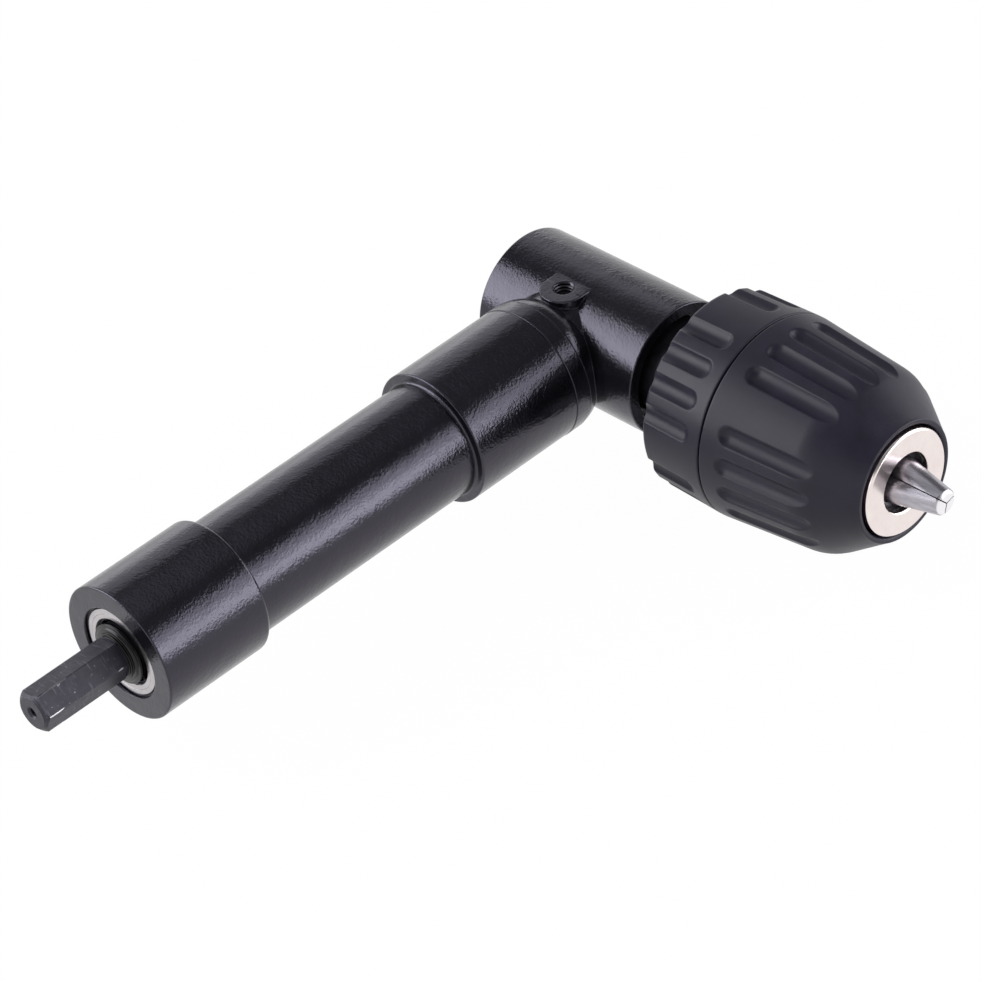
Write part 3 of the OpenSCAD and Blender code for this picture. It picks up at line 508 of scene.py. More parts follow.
def ground_jaw_steel(finish):
    """Hardened jaw steel, ground along the rod and polished by use, with a painted highlight
    that turns the tip's end faces near white.
    """
    line_size, streak_size, line_depth = 0.35, 1.2, 0.0012
    wear_width, wear_amount, bright, satin = 0.12, 0.5, 0.26, 0.34
    tip = low("jaw_1").y
    highlight_start, highlight_full = tip + 0.5 * MM, tip + 0.3 * MM
    tree = new_material("ground_jaw_steel").node_tree
    where = object_space(tree)
    along = scaled(tree, where, 1, 0.07, 1)
    lines = noise(tree, along, line_size, 3.0, 0.7)
    streaks = noise(tree, along, streak_size, 3.0)
    tint = ramp(tree, streaks, *NOISE_SPAN, finish.jaw_dark, finish.jaw_light)
    tint = mixed_colour(tree, worn_edges(tree, wear_width, wear_amount), tint, finish.jaw_edge)
    # Painted highlight: the last few tenths of a millimetre at the tip, the jaws' end faces, are
    # mixed to near white in place of their reflection.
    ground = ramp(tree, split(tree, where)["Y"], highlight_start, highlight_full, 0.0, 1.0)
    tint = mixed_colour(tree, ground, tint, finish.jaw_tip_highlight)
    close_material(tree, Base_Color=tint, Metallic=1.0, Normal=bump(tree, lines, line_depth),
                   Roughness=ramp(tree, lines, *NOISE_SPAN, bright, satin))


# Sizes and colours that a user would change

def in_mm(name, description, default, least=0.0):
    """A texture's size in millimetres."""
    return bpy.props.FloatProperty(name=name, description=description + ", in mm",
                                   default=default, min=least)


def colour(name, description, default):
    """A colour as an sRGB hex code."""
    return bpy.props.StringProperty(name=name, description=description, default=default)


def length(name, description, size_mm):
    """A length of the model, given in millimetres."""
    return bpy.props.FloatProperty(name=name, description=description, default=size_mm * MM,
                                   unit="LENGTH")


def angle(name, description, degrees):
    """An angle, given in degrees."""
    return bpy.props.FloatProperty(name=name, description=description,
                                   default=math.radians(degrees), subtype="ANGLE")


def count(name, description, default, least):
    """A whole number."""
    return bpy.props.IntProperty(name=name, description=description, default=default, min=least)


class FinishSettings(bpy.types.PropertyGroup):
    """Colours and surface values of the finishes."""
    peel_size: in_mm("Orange peel size", "Width of one bump of the enamel", 0.55, 0.1)
    peel_depth: in_mm("Orange peel depth", "Depth of the enamel's bumps", 0.05)
    grain_size: in_mm("Grain size", "Width of the grain on the enamel's bumps", 0.32, 0.1)
    grain_depth: in_mm("Grain depth", "Depth of the enamel's grain", 0.03)
    wave_depth: in_mm("Wave depth", "Depth of the enamel's slow waves", 0.05)
    coat_fillet: in_mm("Coat fillet", "Radius that the coat leaves in a corner", 0.3)
    enamel_roughness: bpy.props.FloatProperty(
        name="Enamel roughness", description="Roughness of the enamel", default=0.16,
        min=0.0, max=1.0, subtype="FACTOR")
    enamel_dark: colour("Dark enamel", "Darker colour of the enamel", "#0a090b")
    enamel_light: colour("Light enamel", "Lighter colour of the enamel", "#110f13")
    enamel_gloss: colour("Enamel gloss", "Tint of the enamel's reflections", "#ede7ff")
    plastic_dark: colour("Dark plastic", "Darker colour of the sleeves", "#1f1c29")
    plastic_light: colour("Light plastic", "Lighter colour of the sleeves", "#262332")
    plastic_worn: colour("Worn plastic", "Colour of the sleeves' rubbed edges", "#6a6874")
    oxide_dark: colour("Dark oxide", "Darker colour of blackened steel", "#28262f")
    oxide_light: colour("Light oxide", "Lighter colour of blackened steel", "#3a3843")
    collar: colour("Collar", "Colour of the shaft's polished collar", "#0d0c0f")
    scuff: colour("Scuffs", "Colour of the scuffs across the shank", "#85838e")
    nick: colour("Nicks", "Colour of the nicks in the shank", "#b4b1bb")
    bare_steel: colour("Bare steel", "Colour of the shank's worn corners", "#f4f2f6")
    nickel_dark: colour("Dark nickel", "Darker colour of the nose ring", "#ebdfdc")
    nickel_light: colour("Light nickel", "Lighter colour of the nose ring", "#f1e7e3")
    jaw_dark: colour("Dark jaw steel", "Darker colour of the jaws", "#98949c")
    jaw_light: colour("Light jaw steel", "Lighter colour of the jaws", "#b9b5bc")
    jaw_edge: colour("Jaw edges", "Colour of the jaws' worn edges", "#e8e6ea")
    # Near-white painted highlight on the jaws' end faces, in place of their reflection.
    jaw_tip_highlight: colour("Jaw tips", "Colour of the jaws' ground tips", "#f2eff2")


class HousingSettings(bpy.types.PropertyGroup):
    """Sizes of the housing's visible edges."""
    segments: count("Segments", "Facets round a turned piece", 192, 24)
    front_round: length("Front rounding", "Rounding of the tail sleeve's front edge", 0.9)
    edge_round: length("Edge rounding", "Rounding of the other edges", 0.35)
    groove_width: length("Groove width", "Width of the groove round the tail bearing", 0.45)
    groove_depth: length("Groove depth", "Depth of the groove round the tail bearing", 1.0)
    bead: length("Paint bead", "Size of the fillet of paint behind the head sleeve", 0.6)
    seam: length("Seam", "Chamfer on both sides of a joint line", 0.18)


class ChuckSettings(bpy.types.PropertyGroup):
    """Sizes of the chuck's sleeves and flutes."""
    segments: count("Segments", "Facets round a sleeve", 720, 90)
    rows: length("Rows", "Distance between the rings of a sleeve", 0.30)
    flute_r: length("Flute radius", "Radius of a flute's section", 2.5)
    flute_depth: length("Flute depth", "Depth of a flute", 1.1)
    flute_edge: length("Flute edge", "Softness of a flute's edges", 0.05)
    flute_places: count("Flute places", "Places for flutes round a sleeve", 20, 1)
    flute_group: count("Flute group", "Places in a group, one of which stays smooth", 5, 2)
    rear_land: angle("Rear land", "Angle of a smooth land of the rear sleeve", 90.5)
    front_land: angle("Front land", "Angle of a smooth land of the front sleeve", 135.5)
    rear_flute_end: length("Rear flute end", "Round end of the rear flutes from the rim", 12.8)
    front_flute_start: length("Front flute start",
                              "Round end of the front flutes from the split", 3.5)


# Housing

def tail(size, start, end, outer_r):
    """Section of the tail sleeve, with the seat of its bearing."""
    shoulder, mouth = mm(1.2, 0.1)
    seat_r, seat_end = radius("tail_bearing_outer_ring"), high("tail_bearing_outer_ring").x
    bore_r, bore_start = radius("main_tube") + size.seam, low("main_tube").x
    groove_r = seat_r + size.groove_width
    return [(0, groove_r, mouth), (0, outer_r, size.edge_round),
            (end, outer_r, size.front_round), (end, bore_r), (bore_start, bore_r),
            (bore_start, seat_r - shoulder), (seat_end, seat_r - shoulder),
            (seat_end, seat_r), (size.groove_depth, seat_r), (size.groove_depth, groove_r)]


def tube(size, start, end, outer_r):
    """Section of the main tube."""
    wall, edge = mm(2, 0.2)
    return [(start, outer_r, edge), (end, outer_r, edge), (end, outer_r - wall),
            (start, outer_r - wall)]


def sleeve(size, start, end, outer_r):
    """Section of the head sleeve, with the fillet of paint behind it."""
    inner_r, steps = radius("main_tube") + size.seam / 4, 6
    turns = [math.pi / 2 * i / steps for i in range(steps + 1)]
    return [(start - size.bead * (1 - math.sin(turn)),
             inner_r + size.bead * (1 - math.cos(turn))) for turn in turns] + [
        (start, outer_r, size.edge_round), (end, outer_r, size.seam), (end, inner_r)]


def ring(size, start, end, outer_r):
    """Section of the neck ring."""
    inner_r = radius("main_tube") + size.seam
    return [(start, inner_r), (start, outer_r, size.seam), (end, outer_r, size.seam),
            (end, inner_r)]


class ATTACHMENT_OT_housing_tubes(bpy.types.Operator):
    """Models the tail sleeve, the main tube, the head sleeve and the neck ring"""
    bl_idname = "attachment.housing_tubes"
    bl_label = "Housing tubes"

    def execute(self, context):
        size = context.scene.attachment_housing
        for node, section in (("tail_sleeve", tail), ("main_tube", tube),
                              ("head_sleeve", sleeve), ("neck_ring", ring)):
            piece = turned(f"{node}_enamelled", section(size, *input_span(node), radius(node)),
                           size.segments, INPUT, closed=True)
            finish_piece(piece, "black_stove_enamel", "housing", "black_enamel", node)
        return {"FINISHED"}


def neck(size):
    """The rounded shoulder in front of the neck ring, run into the head."""
    neck_r, shoulder, fullness, steps = 12.7 * MM, 4.6 * MM, 1.8, 14
    start, inner_r = high("neck_ring").x + PLAY, radius("main_tube") - PLAY
    top_r = radius("neck_ring") - 0.15 * MM
    stations = [(low("gear_head").x, inner_r), (start, inner_r), (start, top_r, size.seam)]
    for t in (i / steps for i in range(1, steps + 1)):
        stations.append((start + shoulder * t,
                         neck_r + (top_r - neck_r) * (1 - t ** fullness)))
    stations.append((AXIS_X - MM, neck_r))
    return turned("neck", stations, size.segments, INPUT)


def lug():
    """A D shaped lug: half a round bar, its flat side drawn out into the head."""
    lug_r, edge = mm(4.9, 0.3)
    lug = cylinder("lug", 96, lug_r, LUG_TOP, location=(LUG_X, 0, LUG_TOP / 2))
    saw(lug, (LUG_X, 0, 0), (1, 0, 0))
    select_faces(lug, lambda face: face.normal.x > 0.99)
    bpy.ops.mesh.extrude_region_move(TRANSFORM_OT_translate={"value": (LUG_REACH, 0, 0)})
    leave_edit()
    select_edges(lug, lambda co: abs(co.z - LUG_TOP) < PLAY)
    bpy.ops.mesh.bevel(offset=edge, segments=3, affect="EDGES")
    leave_edit()
    return lug


def tap(head):
    """Drills the lug, chamfers the hole and lays an M5 thread in it."""
    crest_r, root_r, pitch, turns, steps = 1.85 * MM, 2.35 * MM, 0.8 * MM, 4, 48
    hole_end, hole_r, sunk_r = 5 * MM, root_r - 0.3 * MM, root_r - 0.2 * MM
    mouth_start, mouth_end, mouth_r = LUG_TOP - 0.25 * MM, LUG_TOP + 0.2 * MM, 0.15 * MM
    thread_start = LUG_TOP - 3.9 * MM
    drill = turned("drill", [(hole_end, hole_r), (mouth_start, hole_r),
                             (mouth_end, root_r + mouth_r)], 64,
                   Matrix.Translation((LUG_X, 0, 0)))
    combine(head, drill, "DIFFERENCE")
    deselect()
    bpy.ops.mesh.primitive_circle_add(vertices=3, radius=pitch / 2, fill_type="NGON",
                                      rotation=(math.radians(90), 0, 0))
    thread = bpy.context.object
    thread.name = "lug_thread"
    keep_place()
    flank = (sunk_r, 0), (crest_r, 0.45 * pitch), (sunk_r, 0.9 * pitch)
    for vertex, (out, rise) in zip(thread.data.vertices, flank):
        vertex.co = (out, 0, rise)
    modify(thread, "SCREW", angle=math.tau, screw_offset=pitch, iterations=turns,
           steps=steps, render_steps=steps, use_normal_calculate=True)
    edit(thread)
    seal(weld=True, cap=True)
    place(thread, Matrix.Translation((LUG_X, 0, thread_start)))
    finish_piece(thread, "turned_steel_dark", "housing", "gear_steel", angle=SOFT_ANGLE,
                 weighted=False)


def cap(size, bore_r, rear):
    """The pressed-in cap that closes the head's rear end."""
    face, front = rear + 0.4 * MM, output_span("rear_cap")[1]
    dish, floor = face + 0.5 * MM, face + 1.2 * MM
    centre_r, dish_r, rim_r = mm(4, 8.6, 9.1)
    outer_r, inner_r = bore_r - 0.03 * MM, radius("rear_bearing_outer_ring")
    cap = turned("rear_cap_enamelled", [
        (dish, centre_r, 0.1 * MM), (dish, dish_r, 0.2 * MM), (face, rim_r, 0.2 * MM),
        (face, outer_r, 0.4 * MM), (front, outer_r), (front, inner_r), (floor, inner_r)],
        size.segments, OUTPUT)
    finish_piece(cap, "black_stove_enamel", "housing", "black_enamel", "rear_cap")


class ATTACHMENT_OT_gear_head(bpy.types.Operator):
    """Models the gear head with its neck and tapped lug, and the rear cap"""
    bl_idname = "attachment.gear_head"
    bl_label = "Gear head"

    def execute(self, context):
        size = context.scene.attachment_housing
        head_r, bore_r = high("gear_head").x - AXIS_X, radius("front_bearing_outer_ring")
        window_start, window_r = low("gear_head").x - MM, radius("pinion_bearing_outer_ring")
        rear, front = output_span("gear_head")
        mouth, rear_round, front_round = mm(0.15, 0.5, 0.35)
        head = turned("gear_head_enamelled", [
            (rear, bore_r, mouth), (rear, head_r, rear_round), (front, head_r, front_round),
            (front, bore_r, mouth)], size.segments, OUTPUT, closed=True)
        arm = combine(neck(size), lug(), "UNION")
        combine(arm, turned("bore", [(rear - MM, bore_r), (front + MM, bore_r)],
                            size.segments, OUTPUT), "DIFFERENCE")
        combine(head, arm, "UNION")
        combine(head, turned("window", [(window_start, window_r), (AXIS_X, window_r)], 96,
                             INPUT), "DIFFERENCE")
        tap(head)
        finish_piece(head, "black_stove_enamel", "housing", "black_enamel", "gear_head",
                     angle=math.radians(26))
        cap(size, bore_r, rear)
        return {"FINISHED"}


# Shafts and bearing

BEARING_SEGMENTS = 160


def shaft(root):
    """The stepped collar in front of the bearing, and the shaft."""
    neck_r, first_r, second_r, lip_r = mm(4.35, 5.0, 5.7, 5.9)
    collar_r, shaft_r, end = 6.5 * MM, 5 * MM, high("input_shaft").x
    inside, collar_end = root - 0.2 * MM, 0.48 * MM
    first, second, third = root + 0.25 * MM, root + 0.75 * MM, root + 1.15 * MM
    return turned("shaft", [
        (inside, neck_r), (first, neck_r, 0.1 * MM), (first, first_r, 0.15 * MM),
        (second, first_r, 0.1 * MM), (second, second_r, 0.2 * MM), (third, lip_r, 0.1 * MM),
        (third, collar_r, 0.15 * MM), (collar_end, collar_r, 0.1 * MM),
        (collar_end, shaft_r), (end, shaft_r, 0.4 * MM)], 128, INPUT)


def centre_hole(tip):
    """The centre hole in the tip, with its countersink and pointed end."""
    sink_r, hole_r, point_r = mm(1.45, 1.0, 0.2)
    before, sink_end, hole_end, point = mm(0.1, 0.45, 3.0, 3.5)
    return turned("centre_hole", [
        (tip - before, sink_r), (tip + sink_end, hole_r), (tip + hole_end, hole_r),
        (tip + point, point_r)], 48, INPUT)


class ATTACHMENT_OT_input_shaft(bpy.types.Operator):
    """Models the hex shank with its turned collar, and the shaft behind it"""
    bl_idname = "attachment.input_shaft"
    bl_label = "Input shaft"

    def execute(self, context):
        flats, turn, root = 8 * MM, math.radians(-9), -1.5 * MM
        corner_r, tip = flats / math.sqrt(3), low("input_shaft").x
        corner_width, tip_r, tip_end, around = 0.14 * MM, 3.45 * MM, tip + MM, 0.05 * MM
        shank = cylinder("input_shaft_blackened", 6, corner_r, root - tip)
        modify(shank, "BEVEL", width=corner_width, segments=3, limit_method="ANGLE",
               angle_limit=math.radians(30))
        place(shank, Matrix.Translation(((tip + root) / 2, 0, 0)) @ INPUT
              @ Matrix.Rotation(turn, 4, "Z"))
        cone = turned("tip_cone", [(tip, tip_r), (tip_end, corner_r + around),
                                   (root + MM, corner_r + around)], 128, INPUT)
        combine(shank, cone, "INTERSECT")
        combine(shank, shaft(root), "UNION")
        combine(shank, centre_hole(tip), "DIFFERENCE")
        finish_piece(shank, "blackened_bar", "input_drive", "black_oxide_steel", "input_shaft",
                     angle=math.radians(24))
        return {"FINISHED"}


def shield(face, inward, land_r):
    """A pressed shield, whose inner lip is turned into the bearing."""
    hole_r, dish, sheet, lip_start, lip = mm(7.15, 0.04, 0.15, 0.45, 0.7)
    outer_r = land_r - PLAY
    section = ((0, outer_r, 0.03 * MM), (dish, land_r - 0.25 * MM),
               (dish, hole_r + 0.2 * MM, 0.05 * MM), (lip_start, hole_r, 0.05 * MM),
               (lip, hole_r), (lip, hole_r + 0.12 * MM), (dish + sheet, hole_r + 0.3 * MM),
               (dish + sheet, land_r - 0.3 * MM), (sheet, outer_r))
    return turned("shield", [(face + inward * depth, *rest) for depth, *rest in section],
                  BEARING_SEGMENTS, INPUT, closed=True)


class ATTACHMENT_OT_tail_bearing(bpy.types.Operator):
    """Models the visible rings and shields of the tail bearing"""
    bl_idname = "attachment.tail_bearing"
    bl_label = "Tail bearing"

    def execute(self, context):
        start, end = input_span("tail_bearing_outer_ring")
        outer_r = radius("tail_bearing_outer_ring")
        land_r, middle = outer_r - 1.2 * MM, (start + end) / 2
        track_half, track_depth = mm(0.9, 0.1)
        ring = turned("tail_bearing_outer_ring_ground", [
            (start, land_r, 0.05 * MM), (start, outer_r, 0.35 * MM), (end, outer_r, 0.3 * MM),
            (end, land_r, 0.08 * MM), (middle + track_half, land_r),
            (middle, land_r + track_depth), (middle - track_half, land_r)],
            BEARING_SEGMENTS, INPUT, closed=True)
        finish_piece(ring, "ground_bearing_steel", "housing", "bearing_steel",
                     "tail_bearing_outer_ring")
        shields = [shield(start + PLAY, 1, land_r), shield(end - PLAY, -1, land_r)]
        activate(shields[0])
        shields[1].select_set(True)
        bpy.ops.object.join()
        shields[0].name = "tail_bearing_shields_pressed"
        finish_piece(shields[0], "ground_bearing_steel", "housing", "bearing_steel",
                     "tail_bearing_shield")
        return {"FINISHED"}


class ATTACHMENT_OT_output_spindle(bpy.types.Operator):
    """Models the spindle whose collar shows between the gear head and the chuck"""
    bl_idname = "attachment.output_spindle"
    bl_label = "Output spindle"

    def execute(self, context):
        rear_r, journal_r, seat_r = mm(5, 6, 4.75)
        start, nose = output_span("output_spindle")
        journal, bearing_end = output_span("front_bearing_outer_ring")
        collar, collar_end = bearing_end + 0.05 * MM, output_span("chuck_body")[0] - 0.03 * MM
        relief, collar_r = collar_end - 1.2 * MM, radius("output_spindle")
        relief_r = collar_r - 0.4 * MM
        spindle = turned("output_spindle_blackened", [
            (start, rear_r, 0.4 * MM), (journal, rear_r), (journal, journal_r),
            (collar, journal_r), (collar, collar_r, 0.3 * MM), (relief, collar_r, 0.1 * MM),
            (relief, relief_r), (collar_end, relief_r), (collar_end, seat_r),
            (nose, seat_r, 0.5 * MM)], 160, OUTPUT)
        finish_piece(spindle, "black_oxide_turned", "output_drive", "black_oxide_steel",
                     "output_spindle")
        return {"FINISHED"}


# Chuck

SLEEVE_EDGE = 0.3 * MM
PAST_SLEEVE = 9 * MM


def cut_flutes(piece, size, first_angle, outer_r, ends, floor_r):
    """Sinks round flutes into the outer wall of a sleeve made about Z.

    outer_r gives the wall's radius that the flutes follow, and ends where they stop."""
    step, soft = math.tau / size.flute_places, size.flute_edge
    start, stop = ends
    for vertex in piece.data.vertices:
        x, y, z = vertex.co
        r = math.hypot(x, y)
        turn = (math.atan2(y, x) - first_angle) / step
        if r < floor_r or round(turn) % size.flute_group == 0:
            continue
        side = (turn - round(turn)) * step * r
        away = math.hypot(side, max(start - z, z - stop, 0))
        if away >= size.flute_r:
            continue
        centre_r = outer_r(z) + size.flute_r - size.flute_depth
        gap = centre_r - math.sqrt(size.flute_r ** 2 - away ** 2) - r
        new_r = r + (gap - math.sqrt(gap * gap + soft * soft)) / 2
        vertex.co.x, vertex.co.y = x * new_r / r, y * new_r / r


def straight(first, last, spacing):
    """Points that fill a straight stretch of an outline, without its first one."""
    (z0, r0), (z1, r1) = first, last
    steps = max(1, round(math.hypot(z1 - z0, r1 - r0) / spacing))
    return [(z0 + (z1 - z0) * i / steps, r0 + (r1 - r0) * i / steps)
            for i in range(1, steps + 1)]


def arc(z, r, size, start, end, steps):
    """Points of a round corner from one angle to another, in degrees from the radius."""
    turns = [math.radians(start + (end - start) * i / steps) for i in range(steps + 1)]
    return [(z + size * math.sin(turn), r + size * math.cos(turn)) for turn in turns]


def rear_sleeve(size, split_r, seat_r):
    """The sleeve that is pressed on the body: a slight cone with open flutes."""
    rear, split_z = output_span("rear_sleeve")
    rim_r, rim_round, edge = 21.2 * MM, 0.9 * MM, SLEEVE_EDGE
    mouth, seat_end, grip = mm(0.4, 11.2, 0.2)

    def wall(z):
        return rim_r + (split_r - rim_r) * (z - rear) / (split_z - rear)

    skin = arc(rear + rim_round, rim_r - rim_round, rim_round, -90, 0, 6)
    skin += straight((rear + rim_round, rim_r), (split_z - edge, split_r), size.rows)
    skin += arc(split_z - edge, split_r - edge, edge, 0, 90, 4)[1:]
    inside = [(split_z, seat_r - grip), (rear + seat_end, seat_r), (rear + mouth, seat_r),
              (rear, seat_r + mouth)]
    sleeve = lathe("rear_sleeve_moulded", skin + inside, size.segments, closed=True)
    ends = rear - PAST_SLEEVE, rear + size.rear_flute_end - size.flute_r
    cut_flutes(sleeve, size, size.rear_land, wall, ends, seat_r + 1 * MM)
    place(sleeve, OUTPUT)
    finish_piece(sleeve, "moulded_nylon", "output_drive", "chuck_plastic", "rear_sleeve",
                 angle=SOFT_ANGLE, weighted=False)


def front_sleeve(size, split_r, seat_r):
    """The gripping sleeve: a cone, a round shoulder and a steeper cone to the nose."""
    start, end = output_span("front_sleeve")
    gap_r, edge = radius("nose_ring") + 0.5 * MM, SLEEVE_EDGE
    lip_r, lip_round, bore_r = gap_r + 1.2 * MM, 0.35 * MM, seat_r - 0.15 * MM
    taper_end, taper_r = output_span("rear_sleeve")[0] + 36.8 * MM, 19.7 * MM
    nose_round, nut_end = 10.2 * MM, output_span("split_nut")[1] + 0.3 * MM
    taper = math.degrees(math.atan2(split_r - taper_r, taper_end - start))

    def wall(z):
        return split_r + (taper_r - split_r) * (z - start) / (taper_end - start)

    centre_r = taper_r - nose_round * math.cos(math.radians(taper))
    centre_z = taper_end - nose_round * math.sin(math.radians(taper))
    reach = math.hypot(lip_r - centre_r, end - edge - centre_z)
    cone = math.degrees(math.atan2(end - edge - centre_z, lip_r - centre_r)
                        - math.acos(nose_round / reach))
    skin = arc(start + edge, split_r - edge, edge, -90, 0, 4)
    skin += straight((start + edge, split_r), (taper_end, taper_r), size.rows)
    skin += arc(centre_z, centre_r, nose_round, taper, cone, 22)[1:]
    skin += straight(skin[-1], (end - edge, lip_r), size.rows * 1.4)
    skin += arc(end - edge, lip_r - edge, edge, cone, 90, 4)[1:]
    inside = [(end, gap_r + lip_round), (end - lip_round, gap_r), (nut_end, gap_r),
              (nut_end, bore_r), (start, bore_r)]
    sleeve = lathe("front_sleeve_moulded", skin + inside, size.segments, closed=True)
    ends = start + size.front_flute_start + size.flute_r, end + PAST_SLEEVE
    cut_flutes(sleeve, size, size.front_land, wall, ends, gap_r + 1.5 * MM)
    place(sleeve, OUTPUT)
    finish_piece(sleeve, "moulded_nylon", "grip_sleeve", "chuck_plastic", "front_sleeve",
                 angle=SOFT_ANGLE, weighted=False)


class ATTACHMENT_OT_chuck_sleeves(bpy.types.Operator):
    """Models the two fluted plastic sleeves of the chuck"""
    bl_idname = "attachment.chuck_sleeves"
    bl_label = "Chuck sleeves"

    def execute(self, context):
        size = context.scene.attachment_chuck
        seat_r = (high("chuck_body").x - low("chuck_body").x) / 2 + 0.03 * MM
        rear_sleeve(size, radius("front_sleeve"), seat_r)
        front_sleeve(size, radius("front_sleeve"), seat_r)
        return {"FINISHED"}


class ATTACHMENT_OT_nose_ring(bpy.types.Operator):
    """Models the plated ring in the chuck's nose"""
    bl_idname = "attachment.nose_ring"
    bl_label = "Nose ring"

    def execute(self, context):
        rear, face = output_span("nose_ring")
        ring_r, hole_r, spigot_r = radius("nose_ring"), 6.3 * MM, 8.85 * MM
        outer, inner, wall = mm(0.42, 0.3, 1.5)
        ring = turned("nose_ring_plated", [
            (rear, spigot_r), (rear, ring_r, 0.2 * MM), (face - outer, ring_r, 0.12 * MM),
            (face, ring_r - outer, 0.15 * MM), (face, hole_r + inner, 0.1 * MM),
            (face - inner, hole_r, 0.1 * MM), (face - wall, hole_r, 0.05 * MM),
            (face - wall, spigot_r)], 192, OUTPUT, closed=True)
        finish_piece(ring, "bright_nickel_plate", "output_drive", "nickel_plate", "nose_ring")
        return {"FINISHED"}


class ATTACHMENT_OT_jaws(bpy.types.Operator):
    """Models the three jaws: slanted rods ground to meet at 120 degrees"""
    bl_idname = "attachment.jaws"
    bl_label = "Jaws"

    def execute(self, context):
        tilt, rod_r, rod_length, tip_r = math.radians(13.5), 3.2 * MM, 34 * MM, 2.5 * MM
        first, half_gap, sector = math.radians(73), 0.11 * MM, math.radians(60)
        chamfer, cone_length, edge = mm(0.4, 50, 0.09)
        tip, cone_r = output_span("jaw_1")[1], tip_r - chamfer
        lean_r = tip_r - rod_r / math.cos(tilt)
        for index, body in enumerate(("first_jaw", "second_jaw", "third_jaw")):
            jaw = cylinder(f"jaw_{index + 1}_ground", 128, rod_r, rod_length + 2 * rod_r)
            place(jaw, Matrix.Translation((lean_r, 0, tip)) @ Matrix.Rotation(-tilt, 4, "Y")
                  @ Matrix.Translation((0, 0, rod_r - rod_length / 2)))
            for side in (-1, 1):
                normal = Vector((-math.sin(sector), side * math.cos(sector), 0))
                saw(jaw, normal * -half_gap, normal)
            saw(jaw, (0, 0, tip), (0, 0, 1))
            cone = lathe("cone", [(tip - cone_length, cone_r + cone_length),
                                  (tip + MM, cone_r - MM)], 128)
            combine(jaw, cone, "INTERSECT")
            modify(jaw, "BEVEL", width=edge, segments=2, limit_method="ANGLE",
                   angle_limit=math.radians(25))
            place(jaw, OUTPUT @ Matrix.Rotation(first + index * math.tau / 3, 4, "Z"))
            finish_piece(jaw, "ground_jaw_steel", body, "jaw_steel", f"jaw_{index + 1}",
                         angle=math.radians(20))
        return {"FINISHED"}


# Finishes

class ATTACHMENT_OT_inner_parts(bpy.types.Operator):
    """Gives the pieces that keep their shape from the frame their finishes, with the tail
    bearing's inner ring and balls darkened as painted shade
    """
    bl_idname = "attachment.inner_parts"
    bl_label = "Inner parts"

    def execute(self, context):
        for bearing in ("pinion", "front", "rear"):
            dress("ground_bearing_steel", *(f"{bearing}_bearing_{part}" for part in (
                "outer_ring", "inner_ring", "balls")))
            dress("turned_steel_dark", f"{bearing}_bearing_cage")
        dress("ground_bearing_steel", "thrust_race", "thrust_bearing_balls")
        # Painted shade: the tail bearing's inner ring and balls get dark finishes, so that the
        # gap round the shaft's collar stays black.
        dress("black_oxide_turned", "tail_bearing_inner_ring")
        dress("turned_steel_dark", "tail_bearing_balls", "tail_bearing_cage",
              "pinion_bearing_circlip", "shaft_circlip", "front_bearing_circlip")
        dress("turned_chuck_steel", "chuck_body", "split_nut", "nut_jacket", "bevel_pinion",
              "bevel_gear")
        return {"FINISHED"}


class ATTACHMENT_OT_finishes(bpy.types.Operator):
    """Makes the materials"""
    bl_idname = "attachment.finishes"
    bl_label = "Finishes"

    def execute(self, context):
        finish = context.scene.attachment_finish
        for make in (black_enamel, moulded_plastic, black_oxide, ground_jaw_steel):
            make(finish)
        turned_metal("bright_nickel_plate", finish.nickel_dark, finish.nickel_light,
                     roughness=0.20, axis="Y", ring_mm=0.12, groove_mm=0.0004)
        turned_metal("ground_bearing_steel", "#b4b0b3", "#c2bec0",
                     roughness=0.24, axis="X", ring_mm=0.10, groove_mm=0.001)
        turned_metal("black_oxide_turned", "#222126", "#34333a",
                     roughness=0.34, axis="Y", ring_mm=0.2, wear=0.4, metallic=0.5)
        turned_metal("turned_chuck_steel", "#8a888c", "#a3a0a4",
                     roughness=0.34, axis="Y", ring_mm=0.16)
        turned_metal("turned_steel_dark", "#3a393e", "#55535a",
                     roughness=0.38, axis="X", ring_mm=0.2)
        return {"FINISHED"}


# Floor, lights and camera

LIGHT_COLOUR = (0.96, 0.97, 1.0)
MIDDLE = Vector((AXIS_X * 0.7, -10 * MM, 0))


